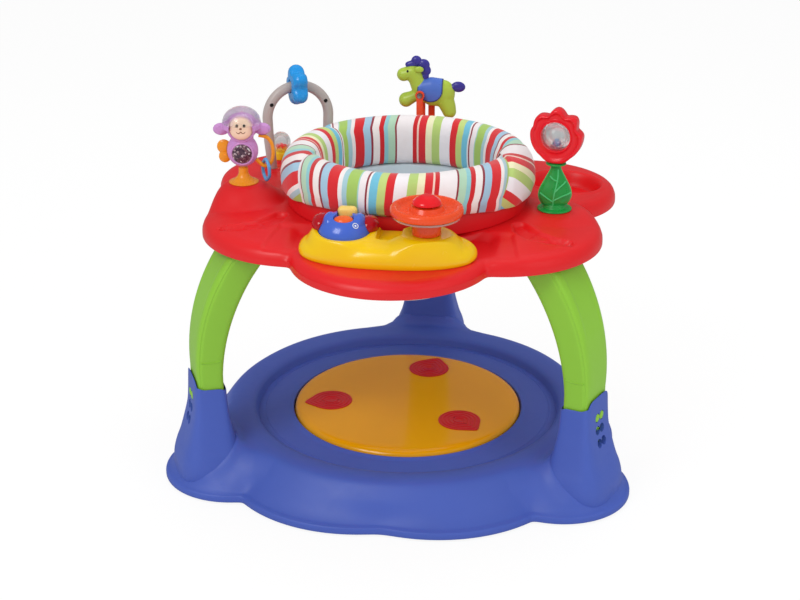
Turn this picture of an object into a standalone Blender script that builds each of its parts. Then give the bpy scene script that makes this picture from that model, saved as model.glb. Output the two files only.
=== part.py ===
"""Baby activity center: a blue base with a bounce pad, three lime legs, a red lobed play tray,
a padded seat that spins, and toys round the tray. Metres, +Z up. The origin is on the floor, on the
axis that the seat and the pad share, and the front is towards -Y."""

import math

import bmesh
import bpy
from mathutils import Matrix, Vector

# General fits and walls
FIT = 0.0003
RUNNING = 0.0006
WALL = 0.003
ROUND_STEPS = 32
SMALL_STEPS = 20

# Bounce pad and its carrier dish
PAD_RADIUS = 0.1995
PAD_TOP = 0.067
PAD_FLAT = PAD_RADIUS - 0.0135
PAD_TRAVEL = 0.010
PAD_GAP = 0.002
PAD_FLANGE = 0.0045
COLLAR_BOTTOM = 0.0463
CARRIER_FLOOR = 0.006
CARRIER_LIP = 0.017
BUFFER_RADIUS = 0.014
BUFFER_SPREAD = 0.120
INLAY_THICKNESS = 0.0012
INLAY_BODY = 0.183 * PAD_RADIUS
INLAY_TIP = 0.250 * PAD_RADIUS
# name, place round the axis, distance from it as a share of the pad, direction of the tip
INLAYS = (("left", 189.0, 0.675, 196.6), ("rear", 79.7, 0.673, 74.0), ("right", 324.7, 0.608, 315.5))

# Base moulding
BASE_STEPS = 48
BASE_LIFT = 0.003
WELL_RADIUS = 0.262
WELL_FLOOR = 0.0575
CREST_RADIUS = 0.304
CREST_TOP = 0.0745
BASE_LOBES = ((4, 0.150, 0.230), (56, 0.150, 0.230), (124, 0.150, 0.230), (176, 0.150, 0.230),
              (244, 0.150, 0.230), (296, 0.150, 0.230),
              (212, 0.325, 0.118), (328, 0.325, 0.118), (90, 0.325, 0.118))
LOBE_BLEND = 200.0

# Legs and the towers that they slide in: name, place round the axis, direction that the leg faces
LEGS = (("left", 212.0, 204.5), ("right", 328.0, 335.5), ("rear", 90.0, 90.0))
LEG_RADIUS = 0.3677
LEG_DEPTH = 0.045
LEG_WIDTH = 0.076
LEG_TOP_DEPTH = 0.068
LEG_TOP_WIDTH = 0.098
LEG_BOTTOM = 0.055
LEG_STRAIGHT = 0.200
LEG_TOP = 0.428
LEG_BEND = 0.337
LEG_WALL = 0.003
TOWER_FIT = 0.0008
TOWER_MOUTH = 0.157
TOWER_PEAK = 0.028
TOWER_HOLLOW_TOP = 0.118
TOWER_BOTTOM = 0.0065
SOCKET_BOTTOM = 0.004
HEIGHT_TRAVEL = 0.044
FOOT_RADIUS = 0.018
CENTRE_FOOT_RADIUS = 0.025

# Latch button in each leg
NOSE_RADIUS = 0.0055
NOSE_SPREAD = 0.0068
NOSE_Z = 0.159
NOSE_PROUD = 0.0020
LATCH_TRAVEL = 0.0055
BUTTON_PLATE = 0.0035
SLOT_MARGIN = 0.0012

# Tray
TRAY_STEPS = 48
TRAY_TOP = 0.449
TRAY_EDGE = TRAY_TOP - 0.009
TRAY_SKIRT = TRAY_EDGE - 0.026
TRAY_WALL = 0.003
TRAY_FLAT = 0.205
FRONT_FLOOR = TRAY_TOP - 0.0115
FRONT_HALF_WIDTH = 0.178
TRAY_LOBES = ((270, 0.215, 0.160), (90, 0.215, 0.160), (210, 0.184, 0.169), (330, 0.184, 0.169),
              (30, 0.2415, 0.139), (150, 0.2415, 0.139))
BOLT_RADIUS = 0.0026
BOLT_HEAD = 0.0065
BOWL_AT = (0.262, 0.118)
BOWL_RADIUS = 0.062
BOWL_DEPTH = 0.029
SOCKET_PAD_TOP = 0.4505

# Seat
SEAT_HOLE = 0.160
SEAT_RING_RADIUS = 0.2025
SEAT_RING_TOP = 0.482
COVER_STEPS = 56
COVER_TOP = 0.5405
COVER_RADIUS = SEAT_RING_RADIUS + 0.014
COVER_PANELS = 14
SLING_BOTTOM = 0.272
SLING_THICKNESS = 0.0025
LEG_HOLE_RADIUS = 0.047

# Front toy: housing, light dome and steering wheel
TOY_CENTRE = (-0.002, -(COVER_RADIUS + 0.0235))
TOY_HALF_LENGTH = 0.139
TOY_FRONT = 0.073
TOY_BACK = 0.0295
TOY_WALL = 0.0025
TOY_TOP = 0.4735
DOME_AT = (TOY_CENTRE[0] - 0.065, TOY_CENTRE[1] - 0.010)
DOME_RADIUS = 0.0427
DOME_BASE = 0.4712
DOME_HEIGHT = 0.035
DOME_COLLAR_TOP = 0.4765
PRESS = 0.0025
ORANGE_AT = (DOME_AT[0] + 0.0005, DOME_AT[1] - 0.017)
ORANGE_RADIUS = 0.0155
YELLOW_AT = (DOME_AT[0] + 0.003, DOME_AT[1] + 0.009)
YELLOW_SIZE = (0.030, 0.016)
WHEEL_AT = (TOY_CENTRE[0] + 0.063, TOY_CENTRE[1] - 0.025)
WHEEL_RADIUS = 0.056
WHEEL_BOTTOM = 0.514
PEDESTAL_TOP = 0.482
COLUMN_RADIUS = 0.0225
SHAFT_RADIUS = 0.008
HORN_RADIUS = 0.0225
HORN_STEM = 0.006

# Flower
FLOWER_AT = (COVER_RADIUS + 0.0310, -0.045)
FLOWER_SEAT = 0.453
FLOWER_BASE_RADIUS = 0.0285
FLOWER_NECK = 0.5325
FLOWER_TURN = -12.0
BALL_CENTRE = 0.579
BALL_RADIUS = 0.0215

# Monkey
MONKEY_AT = (-(COVER_RADIUS + 0.0555), -0.040)
MONKEY_SEAT = 0.476
MONKEY_TURN = 8.0
MONKEY_HIP = 0.5023
LINK_HANG = 0.504

# Arch with its gear bead, and the popper behind it
ARCH_AT = (-(COVER_RADIUS - 0.0050), COVER_RADIUS - 0.0785)
ARCH_TURN = 25.0
ARCH_RADIUS = 0.055
ARCH_CENTRE = 0.541
ARCH_TUBE = 0.009
ARCH_FOOT = 0.0485
GEAR_THICKNESS = 0.028
GEAR_RADIUS = 0.037
GEAR_NOTCH = 0.010
GEAR_BORE = 0.0114
POPPER_AT = (ARCH_AT[0] - 0.0405, ARCH_AT[1] + 0.040)
POPPER_TRAVEL = 0.004

# Horse
HORSE_AT = (-0.008, COVER_RADIUS + 0.0435)
HORSE_PIVOT = 0.557
FORK_GAP = 0.0330
FORK_ARM = 0.005
PIN_RADIUS = 0.003

for old in list(bpy.data.objects):
    bpy.data.objects.remove(old)

PARTS = bpy.data.collections.new("activity_center")
CUTTERS = bpy.data.collections.new("cutters")
CUTTERS.hide_render = True
bpy.context.scene.collection.children.link(PARTS)
bpy.context.scene.collection.children.link(CUTTERS)


# Materials: sRGB colour, roughness, metallic, alpha
FINISHES = {
    "blue plastic": ((0.27, 0.38, 0.76), 0.45, 0.0, 1.0),
    "red plastic": ((0.90, 0.12, 0.15), 0.40, 0.0, 1.0),
    "dark red plastic": ((0.58, 0.02, 0.04), 0.40, 0.0, 1.0),
    "lime plastic": ((0.53, 0.78, 0.16), 0.42, 0.0, 1.0),
    "yellow plastic": ((0.99, 0.82, 0.05), 0.20, 0.0, 1.0),
    "pale yellow plastic": ((0.99, 0.86, 0.42), 0.30, 0.0, 1.0),
    "pad yellow": ((0.95, 0.72, 0.07), 0.15, 0.0, 1.0),
    "inlay red": ((0.83, 0.11, 0.17), 0.35, 0.0, 1.0),
    "grey plastic": ((0.72, 0.68, 0.66), 0.40, 0.0, 1.0),
    "orange plastic": ((0.96, 0.42, 0.12), 0.30, 0.0, 1.0),
    "amber plastic": ((1.00, 0.65, 0.06), 0.35, 0.0, 1.0),
    "sky blue plastic": ((0.08, 0.58, 0.90), 0.25, 0.0, 1.0),
    "light blue plastic": ((0.42, 0.66, 0.91), 0.30, 0.0, 1.0),
    "indigo plastic": ((0.22, 0.20, 0.56), 0.45, 0.0, 1.0),
    "green plastic": ((0.10, 0.55, 0.25), 0.35, 0.0, 1.0),
    "lilac plastic": ((0.83, 0.61, 0.86), 0.35, 0.0, 1.0),
    "peach plastic": ((0.97, 0.80, 0.65), 0.45, 0.0, 1.0),
    "clear red": ((0.70, 0.03, 0.05), 0.08, 0.0, 0.6),
    "clear plastic": ((0.92, 0.93, 0.95), 0.05, 0.0, 0.3),
    "clear pink": ((0.96, 0.55, 0.48), 0.10, 0.0, 0.6),
    "striped fabric": ((0.93, 0.85, 0.80), 0.85, 0.0, 1.0),
    "lining fabric": ((0.86, 0.84, 0.80), 0.90, 0.0, 1.0),
    "rubber": ((0.12, 0.12, 0.13), 0.80, 0.0, 1.0),
    "dark plastic": ((0.15, 0.15, 0.17), 0.50, 0.0, 1.0),
    "steel": ((0.70, 0.70, 0.72), 0.30, 1.0, 1.0),
}


def linear(channel):
    return channel / 12.92 if channel <= 0.04045 else ((channel + 0.055) / 1.055) ** 2.4


def finish(name, owner):
    """A material of the piece's own, with the colour and roughness of the named finish."""
    colour, roughness, metallic, alpha = FINISHES[name]
    material = bpy.data.materials.new(f"{owner} {name}")
    material.use_nodes = True
    shader = material.node_tree.nodes["Principled BSDF"]
    shader.inputs["Base Color"].default_value = (*(linear(c) for c in colour), 1.0)
    shader.inputs["Roughness"].default_value = roughness
    shader.inputs["Metallic"].default_value = metallic
    shader.inputs["Alpha"].default_value = alpha
    material.diffuse_color = (*(linear(c) for c in colour), alpha)
    return material


# Placing pieces: each moving body has an empty on its joint's axis, and its pieces are parented to it
def home(name, at):
    empty = bpy.data.objects.new(name, None)
    empty.location = at
    PARTS.objects.link(empty)
    return empty


def place(obj, surface=None, parent=None, at=(0.0, 0.0, 0.0), turn=0.0, tilt=None):
    """Links the object as a piece with a surface, or as a cutter without one. turn is in degrees about Z."""
    if surface is None:
        CUTTERS.objects.link(obj)
        obj.hide_render = True
        obj.display_type = "WIRE"
    else:
        PARTS.objects.link(obj)
        obj.data.materials.append(finish(surface, obj.name))
    rotation = Matrix.Rotation(math.radians(turn), 4, "Z")
    if tilt is not None:
        rotation = rotation @ tilt
    start = parent.location if parent else Vector((0.0, 0.0, 0.0))
    obj.parent = parent
    obj.rotation_euler = rotation.to_euler()
    obj.location = Vector(at) - start
    return obj


def combine(obj, other, operation):
    modifier = obj.modifiers.new(f"{operation.lower()} {other.name}", "BOOLEAN")
    modifier.operation = operation
    modifier.object = other
    modifier.solver = "EXACT"


def cut(obj, *others):
    for other in others:
        combine(obj, other, "DIFFERENCE")


def join(obj, *others):
    for other in others:
        combine(obj, other, "UNION")


# Shapes
def from_bmesh(name, bm):
    bmesh.ops.recalc_face_normals(bm, faces=bm.faces)
    mesh = bpy.data.meshes.new(name)
    bm.to_mesh(mesh)
    bm.free()
    mesh.shade_smooth()
    mesh.set_sharp_from_angle(angle=math.radians(40))
    return bpy.data.objects.new(name, mesh)


def loft(name, rings, wrap=False):
    """Skin over rings of equal count. With wrap the last ring meets the first, otherwise both ends are capped."""
    bm = bmesh.new()
    skins = [[bm.verts.new(point) for point in ring] for ring in rings]
    count = len(skins[0])
    pairs = list(zip(skins, skins[1:]))
    if wrap:
        pairs.append((skins[-1], skins[0]))
    else:
        caps = [bm.faces.new(skins[0]), bm.faces.new(skins[-1])]
        bmesh.ops.poke(bm, faces=caps)
    for low, high in pairs:
        for k in range(count):
            n = (k + 1) % count
            bm.faces.new((low[k], low[n], high[n], high[k]))
    return from_bmesh(name, bm)


def turned(name, profile, steps=ROUND_STEPS):
    """A profile of (radius, z) points spun about Z. It is put in the order that makes its faces point out."""
    area = sum(a[0] * b[1] - b[0] * a[1] for a, b in zip(profile, profile[1:] + profile[:1]))
    points = profile if area < 0 else profile[::-1]
    on_axis = sum(1 for radius, _ in points if radius == 0.0)
    if on_axis:
        while points[0][0] != 0.0 or points[-1][0] != 0.0:
            points = points[1:] + points[:1]
    mesh = bpy.data.meshes.new(name)
    edges = [(k, k + 1) for k in range(len(points) - 1)]
    if not on_axis:
        edges.append((len(points) - 1, 0))
    mesh.from_pydata([(radius, 0.0, z) for radius, z in points], edges, [])
    obj = bpy.data.objects.new(name, mesh)
    screw = obj.modifiers.new("turn", "SCREW")
    screw.steps = steps
    screw.render_steps = steps
    screw.use_merge_vertices = True
    screw.merge_threshold = 0.00001
    screw.use_smooth_shade = True
    return obj


def rod(name, radius, low, high, steps=16):
    return turned(name, [(0.0, high), (radius, high), (radius, low), (0.0, low)], steps)


def block(name, size, centre=(0.0, 0.0, 0.0), bevel=0.0):
    bm = bmesh.new()
    bmesh.ops.create_cube(bm, size=1.0)
    bmesh.ops.scale(bm, vec=size, verts=bm.verts)
    bmesh.ops.translate(bm, vec=centre, verts=bm.verts)
    obj = from_bmesh(name, bm)
    if bevel:
        edge = obj.modifiers.new("edge", "BEVEL")
        edge.width = bevel
        edge.segments = 2
    return obj


def ball(name, radii, centre, segments=12, rings=7, phase=0.0):
    """An ellipsoid. phase turns its mesh, so that joined forms about one axis don't share edges."""
    bm = bmesh.new()
    bmesh.ops.create_uvsphere(bm, u_segments=segments, v_segments=rings, radius=1.0)
    bmesh.ops.rotate(bm, matrix=Matrix.Rotation(phase, 3, "Z"), verts=bm.verts)
    bmesh.ops.scale(bm, vec=radii, verts=bm.verts)
    bmesh.ops.translate(bm, vec=centre, verts=bm.verts)
    return from_bmesh(name, bm)


def balls(name, shapes, surface, parent, at, turn):
    """One body made of joined ellipsoids: shapes holds (radii, centre) pairs."""
    body = place(ball(name, *shapes[0]), surface, parent, at, turn)
    for k, (radii, centre) in enumerate(shapes[1:]):
        join(body, place(ball(f"{name}_form_{k}", radii, centre, phase=0.1 + 0.13 * k), at=at, turn=turn))
    return body


def plate(name, outlines, thickness, bevel=0.0):
    """A flat outline, with any further outlines as holes, as a 2D curve in XY with its thickness centred."""
    curve = bpy.data.curves.new(name, "CURVE")
    curve.dimensions = "2D"
    curve.fill_mode = "BOTH"
    curve.extrude = thickness / 2 - bevel
    curve.bevel_depth = bevel
    curve.bevel_resolution = 0
    curve.offset = -bevel
    for outline in outlines:
        spline = curve.splines.new("POLY")
        spline.points.add(len(outline) - 1)
        for point, (x, y) in zip(spline.points, outline):
            point.co = (x, y, 0.0, 1.0)
        spline.use_cyclic_u = True
    return to_mesh(bpy.data.objects.new(name, curve))


def tube(name, points, radius, sides=2):
    curve = bpy.data.curves.new(name, "CURVE")
    curve.dimensions = "3D"
    curve.bevel_depth = radius
    curve.bevel_resolution = sides
    curve.use_fill_caps = True
    spline = curve.splines.new("POLY")
    spline.points.add(len(points) - 1)
    for point, co in zip(spline.points, points):
        point.co = (*co, 1.0)
    return to_mesh(bpy.data.objects.new(name, curve))


def to_mesh(curve_object):
    """The curve's surface as a closed mesh of the same name, with its caps welded on."""
    name = curve_object.name
    bpy.context.scene.collection.objects.link(curve_object)
    graph = bpy.context.evaluated_depsgraph_get()
    mesh = bpy.data.meshes.new_from_object(curve_object.evaluated_get(graph))
    bpy.data.objects.remove(curve_object)
    bm = bmesh.new()
    bm.from_mesh(mesh)
    bpy.data.meshes.remove(mesh)
    bmesh.ops.remove_doubles(bm, verts=bm.verts, dist=0.00001)
    return from_bmesh(name, bm)


def circle(radius, count, centre=(0.0, 0.0)):
    steps = (2 * math.pi * k / count for k in range(count))
    return [(centre[0] + radius * math.cos(a), centre[1] + radius * math.sin(a)) for a in steps]


def around(radius, degrees):
    return radius * math.cos(math.radians(degrees)), radius * math.sin(math.radians(degrees))


def fade(value, low, high):
    """0 below low, 1 above high, smooth between; low may be the larger."""
    share = min(1.0, max(0.0, (value - low) / (high - low)))
    return share * share * (3 - 2 * share)


def reach(degrees, lobes):
    """Distance from the axis to the outline of the joined round lobes, with softened notches."""
    total = 0.0
    for at, centre, radius in lobes:
        turn = math.radians(degrees - at)
        side = centre * math.sin(turn)
        if abs(side) < radius:
            out = centre * math.cos(turn) + math.sqrt(radius ** 2 - side ** 2)
            total += math.exp(LOBE_BLEND * out)
    return math.log(total) / LOBE_BLEND


def squared_ring(outward, inward, side, z, count, shift=0.0, peak=0.0):
    """A rounded-rectangle ring about the leg's axis, deeper on the +X side by its own half-depth."""
    ring = []
    for k in range(count):
        angle = 2 * math.pi * (k + 0.5) / count
        c, s = math.cos(angle), math.sin(angle)
        depth = outward if c > 0 else inward
        x = math.copysign(depth * abs(c) ** 0.5, c)
        y = math.copysign(side * abs(s) ** 0.5, s)
        ring.append((x + shift, y, z + peak * max(0.0, (c - 0.8) / 0.2)))
    return ring


# Leg shape, in the leg's own frame: X outward, Z up
def leg_shift(z):
    rise = max(0.0, z - LEG_STRAIGHT)
    return math.sqrt(LEG_BEND ** 2 - rise ** 2) - LEG_BEND


def leg_halves(z):
    grown = max(0.0, z - LEG_STRAIGHT) / (LEG_TOP - LEG_STRAIGHT)
    depth = LEG_DEPTH + (LEG_TOP_DEPTH - LEG_DEPTH) * grown
    width = LEG_WIDTH + (LEG_TOP_WIDTH - LEG_WIDTH) * grown
    return depth / 2, width / 2


def leg_rings(heights, inset=0.0, count=12):
    rings = []
    for z in heights:
        depth, width = leg_halves(z)
        rings.append(squared_ring(depth - inset, depth - inset, width - inset, z, count, leg_shift(z)))
    return rings


def leg_place(angle):
    return (*around(LEG_RADIUS, angle), 0.0)


# Base moulding: a thin shell under a round well, a raised ring and nine joined lobes
HOLE_RADIUS = PAD_RADIUS + PAD_GAP
COLLAR_RADIUS = HOLE_RADIUS + WALL


def base_ring(start, share, z):
    """Radius start, plus a share of the way from the crest to the outline."""
    ring = []
    for k in range(BASE_STEPS):
        degrees = 360 * (k + 0.5) / BASE_STEPS
        radius = start + share * (reach(degrees, BASE_LOBES) - CREST_RADIUS)
        ring.append((*around(radius, degrees), z))
    return ring


BASE_PROFILE = (
    (HOLE_RADIUS, 0.0, COLLAR_BOTTOM),
    (HOLE_RADIUS, 0.0, WELL_FLOOR + 0.0030),
    (COLLAR_RADIUS, 0.0, WELL_FLOOR + 0.0035),
    (COLLAR_RADIUS + 0.010, 0.0, WELL_FLOOR),
    (WELL_RADIUS, 0.0, WELL_FLOOR),
    (CREST_RADIUS - 0.018, 0.0, CREST_TOP - 0.0030),
    (CREST_RADIUS, 0.0, CREST_TOP),
    (CREST_RADIUS, 0.20, CREST_TOP * 0.94),
    (CREST_RADIUS, 0.45, CREST_TOP * 0.67),
    (CREST_RADIUS, 0.70, CREST_TOP * 0.37),
    (CREST_RADIUS, 0.88, 0.0150),
    (CREST_RADIUS - 0.0010, 1.0, 0.0120),
    (CREST_RADIUS, 1.0, BASE_LIFT),
    (CREST_RADIUS - WALL, 1.0, BASE_LIFT),
    (CREST_RADIUS - WALL, 0.87, 0.0120),
    (CREST_RADIUS - WALL, 0.45, CREST_TOP * 0.67 - WALL),
    (CREST_RADIUS, 0.0, CREST_TOP - WALL),
    (CREST_RADIUS - 0.017, 0.0, CREST_TOP - 0.0030 - WALL),
    (WELL_RADIUS, 0.0, WELL_FLOOR - WALL),
    (COLLAR_RADIUS, 0.0, WELL_FLOOR - WALL),
    (COLLAR_RADIUS, 0.0, COLLAR_BOTTOM),
)
base_shell = loft("base_shell", [base_ring(*row) for row in BASE_PROFILE], wrap=True)
place(base_shell, "blue plastic")

# Towers: height, then how far the wall stands outside the mouth inward, outward and sideways
MOUTH_DEPTH = LEG_DEPTH / 2 + TOWER_FIT + WALL
MOUTH_WIDTH = LEG_WIDTH / 2 + TOWER_FIT + WALL
TOWER_ROWS = (
    (TOWER_BOTTOM, 0.020, 0.040, 0.030),
    (0.045, 0.019, 0.035, 0.027),
    (0.080, 0.013, 0.020, 0.016),
    (0.105, 0.008, 0.012, 0.009),
    (0.130, 0.003, 0.004, 0.003),
)


def tower_rings(inset=0.0, top=TOWER_MOUTH, bottom=TOWER_ROWS[0][0]):
    rows = [(bottom, *TOWER_ROWS[0][1:])] + [row for row in TOWER_ROWS[1:] if row[0] < top]
    rings = []
    for z, inward, outward, side in rows:
        halves = (MOUTH_DEPTH + outward - inset, MOUTH_DEPTH + inward - inset, MOUTH_WIDTH + side - inset)
        rings.append(squared_ring(*halves, z, 14))
    return rings


for name, angle, facing in LEGS:
    spot = {"at": leg_place(angle), "turn": facing}
    mouth = squared_ring(MOUTH_DEPTH, MOUTH_DEPTH, MOUTH_WIDTH, TOWER_MOUTH, 14, peak=TOWER_PEAK)
    tower = place(loft(f"tower_{name}", [*tower_rings(), mouth]), **spot)
    hollow = place(loft(f"tower_hollow_{name}", [
        *tower_rings(WALL, TOWER_HOLLOW_TOP - 0.01, -0.01),
        squared_ring(MOUTH_DEPTH + 0.004, MOUTH_DEPTH + 0.003, MOUTH_WIDTH + 0.003, TOWER_HOLLOW_TOP, 14),
    ]), **spot)
    socket = loft(f"socket_{name}", [
        squared_ring(MOUTH_DEPTH, MOUTH_DEPTH, MOUTH_WIDTH, SOCKET_BOTTOM, 12),
        squared_ring(MOUTH_DEPTH, MOUTH_DEPTH, MOUTH_WIDTH, TOWER_HOLLOW_TOP + 0.02, 12)])
    cut(hollow, place(socket, **spot))
    cavity_floor = TOWER_BOTTOM + WALL
    cavity_half = (LEG_DEPTH / 2 + TOWER_FIT, LEG_DEPTH / 2 + TOWER_FIT, LEG_WIDTH / 2 + TOWER_FIT)
    cavity = place(loft(f"cavity_{name}", [
        squared_ring(*cavity_half, cavity_floor, 12), squared_ring(*cavity_half, 0.30, 12)]), **spot)
    slot_low = NOSE_Z - HEIGHT_TRAVEL - NOSE_RADIUS - SLOT_MARGIN
    slot_high = NOSE_Z + NOSE_RADIUS + SLOT_MARGIN
    slot_half = NOSE_SPREAD + NOSE_RADIUS + SLOT_MARGIN
    slot = block(f"slot_{name}", (0.08, 2 * slot_half, slot_high - slot_low),
                 (LEG_DEPTH / 2 - 0.002 + 0.04, 0.0, (slot_low + slot_high) / 2))
    join(base_shell, tower)
    cut(base_shell, hollow, cavity, place(slot, **spot))

    foot = rod(f"foot_{name}", FOOT_RADIUS, 0.0, TOWER_BOTTOM - FIT)
    place(foot, "rubber", **spot)

# Carrier dish that closes the well from below and holds the pad
FLANGE_RADIUS = HOLE_RADIUS + PAD_FLANGE
CARRIER_RADIUS = FLANGE_RADIUS + 0.0015
CARRIER_TOP = WELL_FLOOR - WALL - FIT
carrier = turned("pad_carrier", [
    (0.0, CARRIER_FLOOR + WALL),
    (CARRIER_RADIUS, CARRIER_FLOOR + WALL),
    (CARRIER_RADIUS, CARRIER_TOP),
    (CARRIER_RADIUS + CARRIER_LIP, CARRIER_TOP),
    (CARRIER_RADIUS + CARRIER_LIP, CARRIER_TOP - WALL),
    (CARRIER_RADIUS + WALL, CARRIER_TOP - WALL),
    (CARRIER_RADIUS + WALL, CARRIER_FLOOR),
    (0.0, CARRIER_FLOOR),
], 40)
place(carrier, "dark plastic")
place(rod("foot_centre", CENTRE_FOOT_RADIUS, 0.0, CARRIER_FLOOR - FIT, 24), "rubber")

# Bounce pad, trapped by its flange under the base's collar and carried on three rubber buffers
pad_home = home("pad_slide", (0.0, 0.0, PAD_TOP))
FLANGE_TOP = COLLAR_BOTTOM - FIT
PAD_UNDER = PAD_TOP - WALL
pad = turned("pad_disc", [
    (0.0, PAD_TOP),
    (PAD_FLAT, PAD_TOP),
    (PAD_RADIUS - 0.008, PAD_TOP - 0.0012),
    (PAD_RADIUS - 0.003, PAD_TOP - 0.0040),
    (PAD_RADIUS, PAD_TOP - 0.0100),
    (PAD_RADIUS, FLANGE_TOP),
    (FLANGE_RADIUS, FLANGE_TOP),
    (FLANGE_RADIUS, FLANGE_TOP - WALL),
    (PAD_RADIUS - WALL, FLANGE_TOP - WALL),
    (PAD_RADIUS - WALL, PAD_TOP - 0.0110),
    (PAD_FLAT, PAD_UNDER),
    (0.0, PAD_UNDER),
], 40)
place(pad, "pad yellow", pad_home)


def teardrop(body, tip, count=22):
    """A round body about the origin whose straight sides meet in a tip at +X."""
    lean = math.acos(body / tip)
    angles = (lean + 2 * (math.pi - lean) * k / count for k in range(count + 1))
    return [*((body * math.cos(a), body * math.sin(a)) for a in angles), (tip, 0.0)]


for name, angle, share, turn in INLAYS:
    drop = plate(f"pad_inlay_{name}", [teardrop(INLAY_BODY, INLAY_TIP)], INLAY_THICKNESS)
    spot = (*around(share * PAD_RADIUS, angle), PAD_TOP + FIT + INLAY_THICKNESS / 2)
    place(drop, "inlay red", pad_home, spot, turn)

for k in range(3):
    low, high = CARRIER_FLOOR + WALL + FIT, PAD_UNDER - FIT
    waist = (low + high) / 2
    buffer = turned(f"pad_buffer_{k + 1}", [
        (0.0, high), (BUFFER_RADIUS, high), (BUFFER_RADIUS * 0.7, waist), (BUFFER_RADIUS, low), (0.0, low)], 12)
    place(buffer, "rubber", None, (*around(BUFFER_SPREAD, 90 + 120 * k), 0.0))

# Upper assembly: slides in the towers to set the height
tray_home = home("height_slide", (0.0, 0.0, TOWER_MOUTH))
NOSE_TIP = MOUTH_DEPTH + NOSE_PROUD
LEG_HEIGHTS = (LEG_BOTTOM, LEG_STRAIGHT, 0.250, 0.300, 0.350, 0.390, LEG_TOP)
CEILING = LEG_TOP - 0.0035
for name, angle, facing in LEGS:
    spot = {"at": leg_place(angle), "turn": facing}
    leg = place(loft(f"leg_{name}", leg_rings(LEG_HEIGHTS)), "lime plastic", tray_home, **spot)
    inner = (LEG_BOTTOM - 0.01, *LEG_HEIGHTS[1:-1], CEILING)
    bore = place(loft(f"leg_bore_{name}", leg_rings(inner, LEG_WALL)), **spot)
    side_on = Matrix.Rotation(math.radians(90), 4, "Y")
    cut(leg, bore)
    for side in (-1, 1):
        hole = rod(f"nose_hole_{name}_{side}", NOSE_RADIUS + FIT, 0.010, 0.040)
        offset = Matrix.Rotation(math.radians(facing), 3, "Z") @ Vector((0.0, side * NOSE_SPREAD, NOSE_Z))
        cut(leg, place(hole, at=Vector(spot["at"]) + offset, turn=facing, tilt=side_on))
    outward = Matrix.Rotation(math.radians(facing), 3, "Z") @ Vector((leg_shift(LEG_TOP), 0.0, 0.0))
    top_at = Vector(spot["at"]) + outward
    cut(leg, place(rod(f"bolt_hole_{name}", BOLT_RADIUS + FIT, LEG_TOP - 0.02, LEG_TOP + 0.02, 10), at=top_at))

    latch_home = home(f"latch_{name}_slide", Vector(spot["at"]) + Vector((0.0, 0.0, NOSE_Z)))
    plate_face = LEG_DEPTH / 2 - LEG_WALL - RUNNING
    button = block(f"leg_button_{name}", (BUTTON_PLATE, 4 * NOSE_SPREAD, 0.020),
                   (plate_face - BUTTON_PLATE / 2, 0.0, NOSE_Z), 0.0008)
    place(button, "lime plastic", latch_home, **spot)
    for side in (-1, 1):
        nose = turned(f"nose_{name}_{side}", [
            (0.0, NOSE_TIP), (NOSE_RADIUS * 0.7, NOSE_TIP), (NOSE_RADIUS, NOSE_TIP - 0.0015),
            (NOSE_RADIUS, plate_face - BUTTON_PLATE / 2), (0.0, plate_face - BUTTON_PLATE / 2)], 16)
        offset = Matrix.Rotation(math.radians(facing), 3, "Z") @ Vector((0.0, side * NOSE_SPREAD, NOSE_Z))
        join(button, place(nose, at=Vector(spot["at"]) + offset, turn=facing, tilt=side_on))

    bolt = turned(f"leg_bolt_{name}", [
        (0.0, TRAY_TOP - 0.0085), (BOLT_RADIUS, TRAY_TOP - 0.0085), (BOLT_RADIUS, CEILING - FIT),
        (BOLT_HEAD, CEILING - FIT), (BOLT_HEAD, CEILING - 0.0045), (0.0, CEILING - 0.0045)], 12)
    place(bolt, "steel", tray_home, top_at)


# Tray: one thin lobed shell whose front lobe is sunk for the toy
def tray_top(x, y):
    radius = math.hypot(x, y)
    degrees = math.degrees(math.atan2(y, x)) % 360
    out = (radius - TRAY_FLAT) / (reach(degrees, TRAY_LOBES) - TRAY_FLAT)
    z = TRAY_TOP - (TRAY_TOP - TRAY_EDGE) * max(0.0, out) ** 2
    front = fade(abs(x), FRONT_HALF_WIDTH + 0.022, FRONT_HALF_WIDTH) * fade(-y, 0.150, 0.180)
    return z + (FRONT_FLOOR - z) * front * fade(radius, TRAY_FLAT, TRAY_FLAT + 0.005)


def tray_ring(start, share, drop=0.0, z=None):
    ring = []
    for k in range(TRAY_STEPS):
        degrees = 360 * (k + 0.5) / TRAY_STEPS
        x, y = around(start + share * (reach(degrees, TRAY_LOBES) - TRAY_FLAT), degrees)
        ring.append((x, y, tray_top(x, y) - drop if z is None else z))
    return ring


tray = loft("tray", [
    tray_ring(SEAT_HOLE, 0.0),
    tray_ring(TRAY_FLAT, 0.0),
    tray_ring(TRAY_FLAT + 0.005, 0.0),
    tray_ring(TRAY_FLAT, 0.50),
    tray_ring(TRAY_FLAT - 0.022, 1.0),
    tray_ring(TRAY_FLAT - 0.007, 1.0, 0.0035),
    tray_ring(TRAY_FLAT, 1.0, z=(TRAY_SKIRT + TRAY_EDGE) / 2 - 0.003),
    tray_ring(TRAY_FLAT - 0.001, 1.0, z=TRAY_SKIRT),
    tray_ring(TRAY_FLAT - 0.001 - TRAY_WALL, 1.0, z=TRAY_SKIRT),
    tray_ring(TRAY_FLAT - 0.004 - TRAY_WALL, 1.0, z=(TRAY_SKIRT + TRAY_EDGE) / 2),
    tray_ring(TRAY_FLAT - 0.022 - TRAY_WALL / 2, 1.0, TRAY_WALL),
    tray_ring(TRAY_FLAT, 0.50, TRAY_WALL),
    tray_ring(TRAY_FLAT + 0.005 + TRAY_WALL / 2, 0.0, TRAY_WALL),
    tray_ring(TRAY_FLAT, 0.0, TRAY_WALL),
    tray_ring(SEAT_HOLE, 0.0, TRAY_WALL),
], wrap=True)
place(tray, "red plastic", tray_home)

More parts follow.
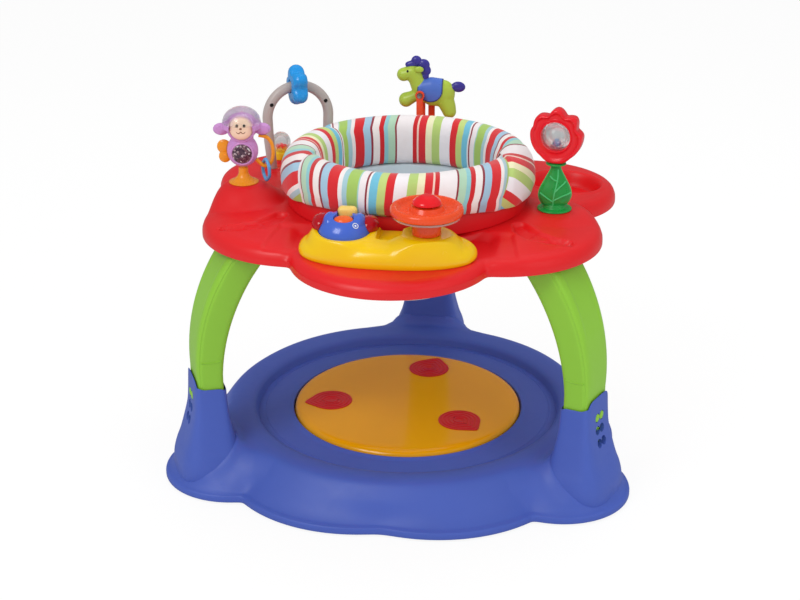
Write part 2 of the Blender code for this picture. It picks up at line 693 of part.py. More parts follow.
# Bosses under the tray for the legs, and round seats on top of it for the toys
MONKEY_MOUND = (0.029, 0.056)
FLOWER_MOUND = (0.036, 0.052)
UNDER = TRAY_TOP - 0.008


def mound(name, at, radii, top, inset=0.0):
    shape = turned(name, [(0.0, top - inset), (radii[0] - inset, top - inset), (radii[1] - inset, UNDER - inset),
                          (radii[1] - inset, UNDER - 0.009 - inset), (0.0, UNDER - 0.009 - inset)], 20)
    return place(shape, at=(*at, 0.0), turn=8 if inset else 3)


join(tray, mound("monkey_mound", MONKEY_AT, MONKEY_MOUND, MONKEY_SEAT))
join(tray, mound("flower_mound", FLOWER_AT, FLOWER_MOUND, FLOWER_SEAT))
cut(tray, mound("monkey_mound_hollow", MONKEY_AT, MONKEY_MOUND, MONKEY_SEAT, TRAY_WALL))
for name, angle, facing in LEGS:
    outward = Matrix.Rotation(math.radians(facing), 3, "Z") @ Vector((leg_shift(LEG_TOP), 0.0, 0.0))
    top_at = Vector(leg_place(angle)) + outward
    low, high = LEG_TOP + FIT, TRAY_TOP - 0.0015
    boss = block(f"boss_{name}", (0.040, 0.060, high - low), (0.0, 0.0, (low + high) / 2))
    join(tray, place(boss, at=top_at, turn=facing))
    cut(tray, place(rod(f"boss_hole_{name}", BOLT_RADIUS + FIT, low - 0.01, TRAY_TOP - 0.0075, 10), at=top_at))

ARCH_DIRECTION = Matrix.Rotation(math.radians(ARCH_TURN), 3, "Z") @ Vector((1.0, 0.0, 0.0))
SEATS = [("horse", HORSE_AT, 0.031), ("popper", POPPER_AT, 0.021)]
for side, name in ((-1, "arch_left"), (1, "arch_right")):
    SEATS.append((name, (Vector(ARCH_AT) + side * ARCH_FOOT * ARCH_DIRECTION.xy).to_tuple(), 0.0135))
for name, at, radius in SEATS:
    join(tray, place(rod(f"{name}_seat", radius, UNDER, SOCKET_PAD_TOP, 14), at=(*at, 0.0)))

bowl_low = TRAY_TOP - BOWL_DEPTH
bowl_rim = [(x, y, tray_top(x, y) - TRAY_WALL / 2) for x, y in circle(BOWL_RADIUS + 0.002, 20, BOWL_AT)]
bowl_outer = loft("bowl_outer", [
    bowl_rim,
    [(x, y, bowl_low + 0.003) for x, y in circle(BOWL_RADIUS - 0.004, 20, BOWL_AT)],
    [(x, y, bowl_low - TRAY_WALL) for x, y in circle(BOWL_RADIUS - 0.010, 20, BOWL_AT)]])
bowl_inner = turned("bowl_inner", [
    (0.0, TRAY_TOP + 0.02), (BOWL_RADIUS, TRAY_TOP + 0.02), (BOWL_RADIUS, TRAY_TOP - 0.004),
    (BOWL_RADIUS - 0.007, bowl_low + 0.005), (BOWL_RADIUS - 0.013, bowl_low), (0.0, bowl_low)], 20)
join(tray, place(bowl_outer))
cut(tray, place(bowl_inner, at=(*BOWL_AT, 0.0), turn=5))

# Seat ring that turns in the tray's hole, kept down by a retainer below
seat_home = home("seat_spin", (0.0, 0.0, TRAY_TOP))
SEAT_FLOOR = TRAY_TOP + RUNNING
DISC_TOP = SEAT_FLOOR + WALL
SPIGOT_RADIUS = SEAT_HOLE - 0.0008
SPIGOT_BOTTOM = TRAY_TOP - TRAY_WALL - 0.009
seat_ring = turned("seat_ring", [
    (SEAT_RING_RADIUS - 0.003, SEAT_RING_TOP),
    (SEAT_RING_RADIUS, SEAT_FLOOR),
    (SPIGOT_RADIUS, SEAT_FLOOR),
    (SPIGOT_RADIUS, SPIGOT_BOTTOM),
    (SPIGOT_RADIUS - WALL, SPIGOT_BOTTOM),
    (SPIGOT_RADIUS - WALL, DISC_TOP),
    (SEAT_RING_RADIUS - WALL, DISC_TOP),
    (SEAT_RING_RADIUS - 0.003 - WALL, SEAT_RING_TOP),
], 40)
place(seat_ring, "dark red plastic", seat_home)
RETAINER_TOP = TRAY_TOP - TRAY_WALL - FIT
retainer = turned("seat_retainer", [
    (SPIGOT_RADIUS + 0.017, RETAINER_TOP),
    (SPIGOT_RADIUS + 0.017, RETAINER_TOP - 0.004),
    (SPIGOT_RADIUS + FIT, RETAINER_TOP - 0.006),
    (SPIGOT_RADIUS + FIT, RETAINER_TOP),
], 40)
place(retainer, "dark red plastic", seat_home)

# Padded cover: crowned ring over the seat ring's wall, drawn in a little at each seam
COVER_BOTTOM = DISC_TOP + FIT + SLING_THICKNESS + FIT
CUFF_INNER = SEAT_RING_RADIUS - 0.003 + FIT
COVER_SECTION = (
    (COVER_RADIUS - 0.0405, COVER_TOP, 1.0), (COVER_RADIUS - 0.0195, COVER_TOP - 0.006, 1.0),
    (COVER_RADIUS - 0.0045, COVER_TOP - 0.023, 1.0), (COVER_RADIUS, COVER_TOP - 0.043, 1.0),
    (COVER_RADIUS - 0.0060, SEAT_RING_TOP - 0.002, 0.4),
    (CUFF_INNER + 0.0035, SEAT_RING_TOP - 0.003, 0.0), (CUFF_INNER + 0.001, SEAT_RING_TOP + FIT + 0.0003, 0.0),
    (CUFF_INNER - WALL - 0.001, SEAT_RING_TOP + FIT + 0.0003, 0.0),
    (CUFF_INNER - WALL - 0.0015, COVER_BOTTOM, 0.0), (0.158, COVER_BOTTOM, 0.0),
    (0.1490, COVER_BOTTOM + 0.014, 0.5), (0.1475, COVER_TOP - 0.040, 1.0), (0.156, COVER_TOP - 0.013, 1.0),
)
COVER_PINCH = 0.0022


def cover_ring(radius, z, puff):
    """puff is how far this line of the section follows the seams in and out."""
    ring = []
    for k in range(COVER_STEPS):
        degrees = 360 * k / COVER_STEPS
        seam = abs(math.cos(math.radians(degrees * COVER_PANELS / 2)))
        draw = COVER_PINCH * puff * seam ** 6
        middle = COVER_RADIUS - 0.0365
        ring.append((*around(radius - math.copysign(draw, radius - middle), degrees),
                     z - (draw if z > COVER_TOP - 0.015 else 0.0)))
    return ring


cover = loft("seat_cover", [cover_ring(*row) for row in COVER_SECTION], wrap=True)
place(cover, "striped fabric", seat_home)

# Sling with two leg holes, hung by its lip between the seat ring and the cover
LIP_TOP = DISC_TOP + FIT + SLING_THICKNESS
SLING_TOP_RADIUS = SPIGOT_RADIUS - WALL - 0.0015
LIP_RADIUS = SEAT_RING_RADIUS - 0.0105
SLING_OUTER = (
    (LIP_RADIUS, DISC_TOP + FIT),(SLING_TOP_RADIUS, DISC_TOP + FIT), (0.148, 0.430), (0.139, 0.385),
    (0.120, 0.330), (0.092, 0.292), (0.050, SLING_BOTTOM + 0.004), (0.0, SLING_BOTTOM))
SLING_INNER = (
    (0.0, SLING_BOTTOM + SLING_THICKNESS), (0.049, SLING_BOTTOM + 0.0066), (0.0905, 0.2945),
    (0.1175, 0.3320), (0.1365, 0.3860), (0.1455, 0.4305), (SLING_TOP_RADIUS - SLING_THICKNESS, LIP_TOP),
    (LIP_RADIUS, LIP_TOP))
sling = place(turned("seat_sling", list(SLING_OUTER + SLING_INNER), 28), "lining fabric", seat_home)
for side in (-1, 1):
    lean = Matrix.Rotation(math.radians(-52 * side), 4, "Y")
    opening = rod(f"leg_hole_{side}", LEG_HOLE_RADIUS, 0.0, 0.12, 20)
    cut(sling, place(opening, at=(side * 0.030, -0.012, 0.345), tilt=lean @ Matrix.Rotation(math.pi, 4, "X")))


# Front toy housing: a low rounded body with a pedestal for the wheel and a collar for the dome
def toy_ring(scale, z, count=28):
    ring = []
    for k in range(count):
        angle = 2 * math.pi * (k + 0.5) / count
        c, s = math.cos(angle), math.sin(angle)
        half = TOY_BACK if s > 0 else TOY_FRONT
        x = scale * TOY_HALF_LENGTH * math.copysign(abs(c) ** 0.85, c)
        y = scale * half * math.copysign(abs(s) ** 0.85, s)
        ring.append((TOY_CENTRE[0] + x, TOY_CENTRE[1] + y, z))
    return ring


TOY_BOTTOM = FRONT_FLOOR + FIT
housing = loft("toy_housing", [
    toy_ring(0.985, TOY_BOTTOM), toy_ring(1.0, TOY_BOTTOM + 0.005), toy_ring(0.985, TOY_TOP - 0.0215),
    toy_ring(0.93, TOY_TOP - 0.013), toy_ring(0.83, TOY_TOP - 0.0065), toy_ring(0.68, TOY_TOP - 0.002),
    toy_ring(0.50, TOY_TOP)])
place(housing, "yellow plastic", tray_home)
pedestal = turned("pedestal", [
    (0.0, PEDESTAL_TOP), (0.037, PEDESTAL_TOP), (0.041, PEDESTAL_TOP - 0.004),
    (0.044, PEDESTAL_TOP - 0.022), (0.0, PEDESTAL_TOP - 0.022)], 24)
collar = rod("dome_collar", DOME_RADIUS + 0.0045, DOME_BASE - 0.012, DOME_COLLAR_TOP, 24)
inside = loft("toy_inside", [
    toy_ring(0.955, TOY_BOTTOM - 0.01), toy_ring(0.965, TOY_BOTTOM + 0.006), toy_ring(0.945, TOY_TOP - 0.0235),
    toy_ring(0.88, TOY_TOP - 0.016), toy_ring(0.78, TOY_TOP - 0.010), toy_ring(0.64, TOY_TOP - 0.006)])
shaft_pocket = rod("shaft_pocket", 0.028, TOY_TOP - 0.02, PEDESTAL_TOP - WALL, 14)
shaft_hole = rod("shaft_hole", SHAFT_RADIUS + FIT, TOY_TOP - 0.02, PEDESTAL_TOP + 0.01)
dome_recess = rod("dome_recess", DOME_RADIUS + FIT, DOME_BASE, DOME_COLLAR_TOP + 0.02, 24)
wire_hole = rod("wire_hole", 0.012, TOY_TOP - 0.02, DOME_COLLAR_TOP, 10)
join(housing, place(pedestal, at=(*WHEEL_AT, 0.0), turn=4), place(collar, at=(*DOME_AT, 0.0)))
cut(housing, place(inside), place(shaft_pocket, at=(*WHEEL_AT, 0.0), turn=5))
cut(housing, place(shaft_hole, at=(*WHEEL_AT, 0.0), turn=8))
cut(housing, place(dome_recess, at=(*DOME_AT, 0.0), turn=3), place(wire_hole, at=(*DOME_AT, 0.0), turn=10))

BASE_PLATE_TOP = TOY_BOTTOM + 0.002
base_plate = loft("toy_base_plate", [toy_ring(0.93, TOY_BOTTOM), toy_ring(0.93, BASE_PLATE_TOP)])
place(base_plate, "dark plastic", tray_home)
battery = block("battery_box", (0.060, 0.034, 0.017), bevel=0.002)
place(battery, "dark plastic", tray_home, (0.0, TOY_CENTRE[1] - 0.012, BASE_PLATE_TOP + FIT + 0.0085))


def dome_profile(radius, height, base, count=5):
    """Quarter ellipse from the top of the axis down to the rim."""
    steps = (math.pi / 2 * k / count for k in range(count + 1))
    return [(radius * math.sin(a) if a else 0.0, base + height * math.cos(a)) for a in steps]


DOME_FOOT = DOME_BASE + FIT
dome_outer = dome_profile(DOME_RADIUS, DOME_HEIGHT, DOME_FOOT)
dome_inner = dome_profile(DOME_RADIUS - TOY_WALL, DOME_HEIGHT - TOY_WALL, DOME_FOOT)
dome = turned("dome_shell", dome_outer + dome_inner[::-1], 24)
place(dome, "blue plastic", tray_home, (*DOME_AT, 0.0))
ORANGE_TOP = DOME_FOOT + DOME_HEIGHT - 0.003
YELLOW_TOP = DOME_FOOT + DOME_HEIGHT + 0.006
orange_home = home("orange_press", (*ORANGE_AT, ORANGE_TOP))
orange = turned("dome_button_orange", [
    (0.0, ORANGE_TOP), (ORANGE_RADIUS * 0.8, ORANGE_TOP - 0.0015), (ORANGE_RADIUS, ORANGE_TOP - 0.0045),
    (ORANGE_RADIUS, ORANGE_TOP - 0.020), (0.0, ORANGE_TOP - 0.020)], SMALL_STEPS)
place(orange, "orange plastic", orange_home, (*ORANGE_AT, 0.0))
yellow_home = home("yellow_press", (*YELLOW_AT, YELLOW_TOP))
yellow = block("dome_button_yellow", (*YELLOW_SIZE, 0.024), (0.0, 0.0, YELLOW_TOP - 0.012), 0.003)
place(yellow, "pale yellow plastic", yellow_home, (*YELLOW_AT, 0.0))
orange_hole = rod("orange_hole", ORANGE_RADIUS + FIT, DOME_BASE + 0.006, DOME_BASE + 0.06, SMALL_STEPS)
yellow_hole = block("yellow_hole", (YELLOW_SIZE[0] + 2 * FIT, YELLOW_SIZE[1] + 2 * FIT, 0.05),
                    (0.0, 0.0, DOME_BASE + 0.031))
cut(dome, place(orange_hole, at=(*ORANGE_AT, 0.0)), place(yellow_hole, at=(*YELLOW_AT, 0.0)))
for side, name in ((-1, "left"), (1, "right")):
    lens_at = (DOME_AT[0] + side * (DOME_RADIUS - 0.006), DOME_AT[1] + 0.006, 0.0)
    lens = ball(f"lens_{name}", (0.0165, 0.022, 0.0155), (0.0, 0.0, DOME_BASE + 0.013), 16, 10)
    place(lens, "clear red", tray_home, lens_at)
    dome_form = turned(f"dome_form_{name}",
                       [*dome_profile(DOME_RADIUS + FIT, DOME_HEIGHT + FIT, DOME_FOOT),
                        (DOME_RADIUS + FIT, DOME_BASE - 0.03), (0.0, DOME_BASE - 0.03)], 24)
    floor = block(f"lens_floor_{name}", (0.12, 0.12, 0.04), (0.0, 0.0, DOME_COLLAR_TOP + FIT - 0.02))
    cut(lens, place(dome_form, at=(*DOME_AT, 0.0)), place(floor, at=(*DOME_AT, 0.0)))

# Steering wheel on its column, with the horn button through its hub
wheel_home = home("wheel_turn", (*WHEEL_AT, WHEEL_BOTTOM))
SKIRT_TOP = WHEEL_BOTTOM - FIT
SKIRT_BOTTOM = SKIRT_TOP - 0.004
COLUMN_TOP = SKIRT_BOTTOM - FIT
SNAP_TOP = PEDESTAL_TOP - WALL - FIT
column = turned("steering_column", [
    (0.0, COLUMN_TOP - 0.006), (0.0095, COLUMN_TOP - 0.006), (0.0095, COLUMN_TOP), (COLUMN_RADIUS - 0.001, COLUMN_TOP),
    (COLUMN_RADIUS, PEDESTAL_TOP + FIT), (SHAFT_RADIUS, PEDESTAL_TOP + FIT), (SHAFT_RADIUS, SNAP_TOP),
    (SHAFT_RADIUS + 0.003, SNAP_TOP), (SHAFT_RADIUS, SNAP_TOP - 0.005), (0.0, SNAP_TOP - 0.005)], 24)
place(column, "orange plastic", wheel_home, (*WHEEL_AT, 0.0))
wheel = turned("steering_wheel", [
    (WHEEL_RADIUS - 0.004, WHEEL_BOTTOM + 0.012), (WHEEL_RADIUS, WHEEL_BOTTOM + 0.006),
    (WHEEL_RADIUS - 0.003, WHEEL_BOTTOM), (0.0090, WHEEL_BOTTOM), (0.0090, WHEEL_BOTTOM - 0.009),
    (HORN_STEM + FIT, WHEEL_BOTTOM - 0.009), (HORN_STEM + FIT, WHEEL_BOTTOM + 0.0135),
    (0.024, WHEEL_BOTTOM + 0.0135), (0.027, WHEEL_BOTTOM + 0.008), (WHEEL_RADIUS - 0.015, WHEEL_BOTTOM + 0.008),
    (WHEEL_RADIUS - 0.010, WHEEL_BOTTOM + 0.013)], 28)
place(wheel, "orange plastic", wheel_home, (*WHEEL_AT, 0.0))
skirt = turned("wheel_lower_rim", [
    (WHEEL_RADIUS - 0.003, SKIRT_TOP), (WHEEL_RADIUS - 0.005, SKIRT_BOTTOM),
    (0.0093, SKIRT_BOTTOM), (0.0093, SKIRT_TOP)], 28)
place(skirt, "clear pink", wheel_home, (*WHEEL_AT, 0.0))
HORN_BASE = WHEEL_BOTTOM + 0.0135 + PRESS + FIT
horn_home = home("horn_press", (*WHEEL_AT, HORN_BASE))
horn = turned("horn_button", [
    (0.0, HORN_BASE + 0.0145), (HORN_RADIUS * 0.45, HORN_BASE + 0.013), (HORN_RADIUS * 0.85, HORN_BASE + 0.007),
    (HORN_RADIUS, HORN_BASE + 0.001), (HORN_RADIUS - 0.001, HORN_BASE), (HORN_STEM, HORN_BASE),
    (HORN_STEM, WHEEL_BOTTOM - 0.0060 + PRESS), (0.0, WHEEL_BOTTOM - 0.0060 + PRESS)], 24)
place(horn, "inlay red", horn_home, (*WHEEL_AT, 0.0))

# Flower: leafy green stem, red bloom that turns on it and a clear rattle ball held in the bloom
STEM_BASE = FLOWER_SEAT + FIT
stem = turned("flower_stem", [
    (0.0, FLOWER_NECK + 0.008), (0.0040, FLOWER_NECK + 0.008), (0.0040, FLOWER_NECK), (0.0165, FLOWER_NECK),
    (0.0165, FLOWER_NECK - 0.0025), (0.0060, FLOWER_NECK - 0.004), (0.0085, FLOWER_NECK - 0.012),
    (0.0165, 0.5050), (0.0245, 0.4900), (0.0270, 0.4790), (0.0240, 0.4670), (0.0180, STEM_BASE + 0.004),
    (FLOWER_BASE_RADIUS, STEM_BASE + 0.003), (FLOWER_BASE_RADIUS, STEM_BASE), (0.0, STEM_BASE)], 16)
place(stem, "green plastic", tray_home, (*FLOWER_AT, 0.0))
UPRIGHT = Matrix.Rotation(math.radians(90), 4, "X")


def bloom_outline(count=36):
    """Tulip face seen from the front: pointed below, round at the sides, three petals on top."""
    points = []
    for k in range(count):
        angle = 2 * math.pi * k / count
        up = math.degrees(angle)
        radius = 0.0435 - 0.0055 * fade(up, 50, 20) * fade(up, 0, 20)
        for petal, height in ((90, 0.0095), (42, 0.009), (138, 0.009)):
            radius += height * max(0.0, math.cos(math.radians((up - petal) * 3.6))) ** 2 * (abs(up - petal) < 25)
        radius -= 0.008 * fade(math.sin(angle), 0.1, 0.7)
        radius += 0.0035 * fade(math.sin(angle), -0.8, -1.0)
        points.append((radius * math.cos(angle), radius * math.sin(angle)))
    return points


bloom_home = home("bloom_turn", (*FLOWER_AT, FLOWER_NECK))
bloom = plate("flower_head", [bloom_outline(), circle(BALL_RADIUS + 0.0005, 24)], 0.026, 0.004)
place(bloom, "inlay red", bloom_home, (*FLOWER_AT, BALL_CENTRE), FLOWER_TURN, UPRIGHT)
neck_hole = rod("neck_hole", 0.0043, FLOWER_NECK - 0.01, FLOWER_NECK + 0.0086)
neck_trim = block("neck_trim", (0.06, 0.06, 0.02), (0.0, 0.0, FLOWER_NECK + FIT - 0.01))
cut(bloom, place(neck_hole, at=(*FLOWER_AT, 0.0)), place(neck_trim, at=(*FLOWER_AT, 0.0)))
ball_home = home("ball_spin", (*FLOWER_AT, BALL_CENTRE))


def hollow_ball(radius, wall, hole, steps=7):
    """Profile of a thin ball with a small round opening below."""
    outer_end = math.asin(hole / radius)
    inner = radius - wall
    inner_end = math.asin(hole / inner)
    outer = [(radius * math.sin(a), radius * math.cos(a))
             for a in ((math.pi - outer_end) * k / steps for k in range(steps + 1))]
    back = [(inner * math.sin(a), inner * math.cos(a))
            for a in ((math.pi - inner_end) * k / steps for k in range(steps, -1, -1))]
    return [(max(0.0, r) if 0 < k < 2 * steps + 1 else 0.0, z) for k, (r, z) in enumerate(outer + back)]


rattle = turned("flower_ball", hollow_ball(BALL_RADIUS, 0.0018, 0.003), 16)
place(rattle, "clear plastic", ball_home, (*FLOWER_AT, BALL_CENTRE))
bead = ball("ball_bead", (0.0065, 0.0065, 0.0065), (0.0, 0.0, -(BALL_RADIUS - 0.0018 - 0.0065 - FIT)), 12, 8)
place(bead, "light blue plastic", ball_home, (*FLOWER_AT, BALL_CENTRE))

# Monkey: turns on a suction foot
CUP_BOTTOM = MONKEY_SEAT + FIT
monkey_foot = turned("monkey_base", [
    (0.0, MONKEY_HIP + 0.009), (0.0045, MONKEY_HIP + 0.009), (0.0045, MONKEY_HIP - FIT), (0.0080, MONKEY_HIP - FIT),
    (0.0080, MONKEY_HIP - 0.010), (0.0130, CUP_BOTTOM + 0.006), (0.0250, CUP_BOTTOM + 0.001),
    (0.0250, CUP_BOTTOM), (0.0, CUP_BOTTOM)], 20)
place(monkey_foot, "amber plastic", tray_home, (*MONKEY_AT, 0.0))
monkey_home = home("monkey_spin", (*MONKEY_AT, MONKEY_HIP))
monkey_spot = {"at": (*MONKEY_AT, 0.0), "turn": MONKEY_TURN}
monkey = balls("monkey_body", [
    ((0.0265, 0.0165, 0.0285), (0.0, 0.0, 0.5315)),
    ((0.0190, 0.0140, 0.0200), (0.0, 0.0, 0.5540)),
    ((0.0270, 0.0170, 0.0250), (0.0, 0.0, 0.5740)),
    ((0.0140, 0.0080, 0.0105), (0.0340, 0.0, 0.5680)),
    ((0.0140, 0.0080, 0.0105), (-0.0340, 0.0, 0.5680)),
], "lilac plastic", monkey_home, **monkey_spot)
HELMET_SEAT = 0.5790
join(monkey, place(rod("helmet_rim", 0.0325, HELMET_SEAT - 0.003, HELMET_SEAT, 20),
                   at=(*MONKEY_AT, 0.0), turn=MONKEY_TURN + 3))
cut(monkey, place(block("hip_trim", (0.08, 0.08, 0.02), (0.0, 0.0, MONKEY_HIP + FIT - 0.01)), **monkey_spot))
cut(monkey, place(rod("hip_hole", 0.0048, MONKEY_HIP - 0.02, MONKEY_HIP + 0.0095), at=(*MONKEY_AT, 0.0), turn=3))
face_at = Matrix.Rotation(math.radians(MONKEY_TURN), 3, "Z") @ Vector((0.0, -0.0130, 0.0))
face_spot = {"at": Vector((*MONKEY_AT, 0.5730)) + face_at, "turn": MONKEY_TURN, "tilt": UPRIGHT}


def button_profile(radius, thickness):
    """A round face with a softly domed front at +Z and a flat back."""
    return [(0.0, thickness), (radius * 0.6, thickness - 0.0012), (radius * 0.9, thickness - 0.004),
            (radius, thickness - 0.008), (radius, 0.0), (0.0, 0.0)]


face = turned("monkey_face", button_profile(0.0195, 0.0110), 24)
place(face, "peach plastic", monkey_home, **face_spot)
face_pocket = rod("face_pocket", 0.0195 + FIT, -FIT, 0.02, 24)
cut(monkey, place(face_pocket, **face_spot))
helmet_outer = dome_profile(0.0320, 0.0270, HELMET_SEAT + FIT)
helmet_inner = dome_profile(0.0302, 0.0252, HELMET_SEAT + FIT)
helmet = turned("monkey_helmet", helmet_outer + helmet_inner[::-1], 20)
place(helmet, "clear plastic", monkey_home, **monkey_spot)
wing = balls("monkey_wing", [
    ((0.0120, 0.0045, 0.0125), (-0.0310, 0.003, 0.5370)),
    ((0.0105, 0.0045, 0.0110), (-0.0300, 0.003, 0.5200)),
], "amber plastic", monkey_home, **monkey_spot)
belly_form = ball("belly_form", (0.0265 + FIT, 0.0165 + FIT, 0.0285 + FIT), (0.0, 0.0, 0.5315))
cut(wing, place(belly_form, **monkey_spot))

# Arm that holds the hanging link, and the link
ARC_POINTS = ((0.0272, 0.0, 0.5570), (0.0400, 0.0, 0.5540), (0.0480, 0.0, 0.5440), (0.0505, 0.0, 0.5300),
              (0.0490, 0.0, 0.5160), (0.0440, 0.0, 0.5065), (0.0380, 0.0, LINK_HANG), (0.0320, 0.0, 0.5060),
              (0.0215, 0.0, 0.5160))
arc = place(tube("monkey_arc", ARC_POINTS, 0.0032), "amber plastic", monkey_home, **monkey_spot)
ear_form = ball("ear_form", (0.0140 + FIT, 0.0080 + FIT, 0.0105 + FIT), (0.0340, 0.0, 0.5680), phase=0.25)
cut(arc, place(ball("belly_form_arc", (0.0265 + FIT, 0.0165 + FIT, 0.0285 + FIT), (0.0, 0.0, 0.5315)), **monkey_spot))
cut(arc, place(ear_form, **monkey_spot))
link_at = Matrix.Rotation(math.radians(MONKEY_TURN), 3, "Z") @ Vector((0.0380, 0.0, 0.0))
link_home = home("link_swing", Vector((*MONKEY_AT, LINK_HANG)) + link_at)
LINK_TALL, LINK_WIDE, LINK_BAR = 0.046, 0.030, 0.006


def hexagon(tall, wide):
    return [(0.0, tall / 2), (wide / 2, tall * 0.22), (wide / 2, -tall * 0.22), (0.0, -tall / 2),
            (-wide / 2, -tall * 0.22), (-wide / 2, tall * 0.22)]


link = plate("monkey_ring", [hexagon(LINK_TALL, LINK_WIDE),
                             hexagon(LINK_TALL - 2.6 * LINK_BAR, LINK_WIDE - 2 * LINK_BAR)], 0.006, 0.0015)
LINK_CENTRE = LINK_HANG + 0.0085 - (LINK_TALL - 2.6 * LINK_BAR) / 2
place(link, "light blue plastic", link_home, Vector((*MONKEY_AT, LINK_CENTRE)) + link_at, MONKEY_TURN - 60, UPRIGHT)

# Arch with a gear bead threaded on its top, and a popper behind it
ARCH_BOTTOM = SOCKET_PAD_TOP + FIT
arch_points = [(-ARCH_FOOT, 0.0, ARCH_BOTTOM), (-ARCH_RADIUS + 0.0015, 0.0, 0.500)]
arch_points += [(-ARCH_RADIUS * math.cos(a), 0.0, ARCH_CENTRE + ARCH_RADIUS * math.sin(a))
                for a in (math.pi * k / 16 for k in range(17))]
arch_points += [(ARCH_RADIUS - 0.0015, 0.0, 0.500), (ARCH_FOOT, 0.0, ARCH_BOTTOM)]
arch = place(tube("arch_tube", arch_points, ARCH_TUBE, 2), "grey plastic", tray_home, (*ARCH_AT, 0.0), ARCH_TURN)
arch_trim = block("arch_trim", (0.16, 0.06, 0.04), (0.0, 0.0, ARCH_BOTTOM - 0.02))
cut(arch, place(arch_trim, at=(*ARCH_AT, 0.0), turn=ARCH_TURN))
gear_home = home("gear_spin", (*ARCH_AT, ARCH_CENTRE + ARCH_RADIUS))
PETALS = 5
gear_outline = []
for k in range(40):
    angle = 2 * math.pi * k / 40
    radius = GEAR_RADIUS - GEAR_NOTCH * (0.5 - 0.5 * math.cos(PETALS * angle))
    gear_outline.append((radius * math.cos(angle), radius * math.sin(angle)))
gear = plate("arch_gear", [gear_outline, circle(GEAR_BORE, 16)], GEAR_THICKNESS, 0.003)
place(gear, "sky blue plastic", gear_home, (*ARCH_AT, ARCH_CENTRE + ARCH_RADIUS), ARCH_TURN,
      Matrix.Rotation(math.radians(90), 4, "Y"))

POPPER_BASE = SOCKET_PAD_TOP + FIT
popper_base = turned("popper_base", [
    (0.0, POPPER_BASE + 0.018), (0.0120, POPPER_BASE + 0.018), (0.0120, POPPER_BASE + 0.012),
    (0.0165, POPPER_BASE + 0.012), (0.0190, POPPER_BASE), (0.0, POPPER_BASE)], 18)
place(popper_base, "yellow plastic", tray_home, (*POPPER_AT, 0.0))
POPPER_RIM = POPPER_BASE + 0.012 + POPPER_TRAVEL + FIT
popper_home = home("popper_press", (*POPPER_AT, POPPER_RIM))
popper_outer = [*dome_profile(0.0175, 0.0175, POPPER_RIM + 0.014, 4), (0.0175, POPPER_RIM)]
popper_inner = [*dome_profile(0.0158, 0.0158, POPPER_RIM + 0.014, 4), (0.0158, POPPER_RIM + 0.004),
                (0.0124, POPPER_RIM + 0.004), (0.0124, POPPER_RIM)]
popper = turned("popper_dome", popper_outer + popper_inner[::-1], 18)
place(popper, "clear plastic", popper_home, (*POPPER_AT, 0.0))

# Horse: rocks on a pin between the arms of a fork
horse_home = home("horse_rock", (*HORSE_AT, HORSE_PIVOT))
HORSE = ((-0.0430, 0.5920), (-0.0420, 0.5830), (-0.0350, 0.5780), (-0.0270, 0.5740), (-0.0290, 0.5610),
         (-0.0340, 0.5490), (-0.0390, 0.5420), (-0.0390, 0.5330), (-0.0220, 0.5320), (-0.0140, 0.5420),
         (-0.0040, 0.5460), (0.0120, 0.5440), (0.0240, 0.5450), (0.0310, 0.5340), (0.0370, 0.5200),
         (0.0410, 0.5120), (0.0610, 0.5120), (0.0630, 0.5210), (0.0570, 0.5340), (0.0590, 0.5490),
         (0.0570, 0.5650), (0.0480, 0.5770), (0.0330, 0.5810), (0.0130, 0.5790), (0.0010, 0.5840),
         (-0.0030, 0.5950), (-0.0090, 0.6040), (-0.0200, 0.6080), (-0.0320, 0.6040), (-0.0400, 0.5990))
MANE = ((-0.0330, 0.6010), (-0.0270, 0.6100), (-0.0200, 0.6120), (-0.0150, 0.6220), (-0.0080, 0.6250),
        (-0.0010, 0.6190), (0.0040, 0.6130), (0.0110, 0.6110), (0.0120, 0.6030), (0.0160, 0.5960),
        (0.0150, 0.5880), (0.0080, 0.5800), (-0.0030, 0.5850), (-0.0080, 0.5960), (-0.0170, 0.5990))
TAIL = ((0.0500, 0.5700), (0.0580, 0.5790), (0.0680, 0.5830), (0.0770, 0.5780), (0.0810, 0.5690),
        (0.0760, 0.5600), (0.0660, 0.5590), (0.0560, 0.5600))
HORSE_THICKNESS = 0.026
SADDLE_SKIN = 0.002


def grown(points, extra):
    """The anticlockwise outline with each edge moved out by extra."""
    moved = []
    for k, point in enumerate(points):
        before = (Vector(point) - Vector(points[k - 1])).normalized()
        after = (Vector(points[(k + 1) % len(points)]) - Vector(point)).normalized()
        out = Vector((before.y + after.y, -before.x - after.x)).normalized()
        moved.append((Vector(point) + out * extra / max(0.5, out.dot(Vector((after.y, -after.x))))).to_tuple())
    return moved


def horse_plate(name, outline, thickness, bevel=0.0):
    return plate(name, [outline], thickness, bevel)


on_horse = {"at": (*HORSE_AT, 0.0), "tilt": UPRIGHT}
horse = place(horse_plate("horse_body", HORSE, HORSE_THICKNESS, 0.0035), "lime plastic", horse_home, **on_horse)
pin_bore = {"at": (*HORSE_AT, HORSE_PIVOT), "tilt": UPRIGHT}
cut(horse, place(rod("horse_pin_hole", PIN_RADIUS + FIT, -0.03, 0.03), **pin_bore))
for name, outline in (("horse_mane", MANE), ("horse_tail", TAIL)):
    piece = place(horse_plate(name, outline, 0.012), "indigo plastic", horse_home, **on_horse)
    cut(piece, place(horse_plate(f"{name}_trim", grown(HORSE, FIT), 0.02), **on_horse))

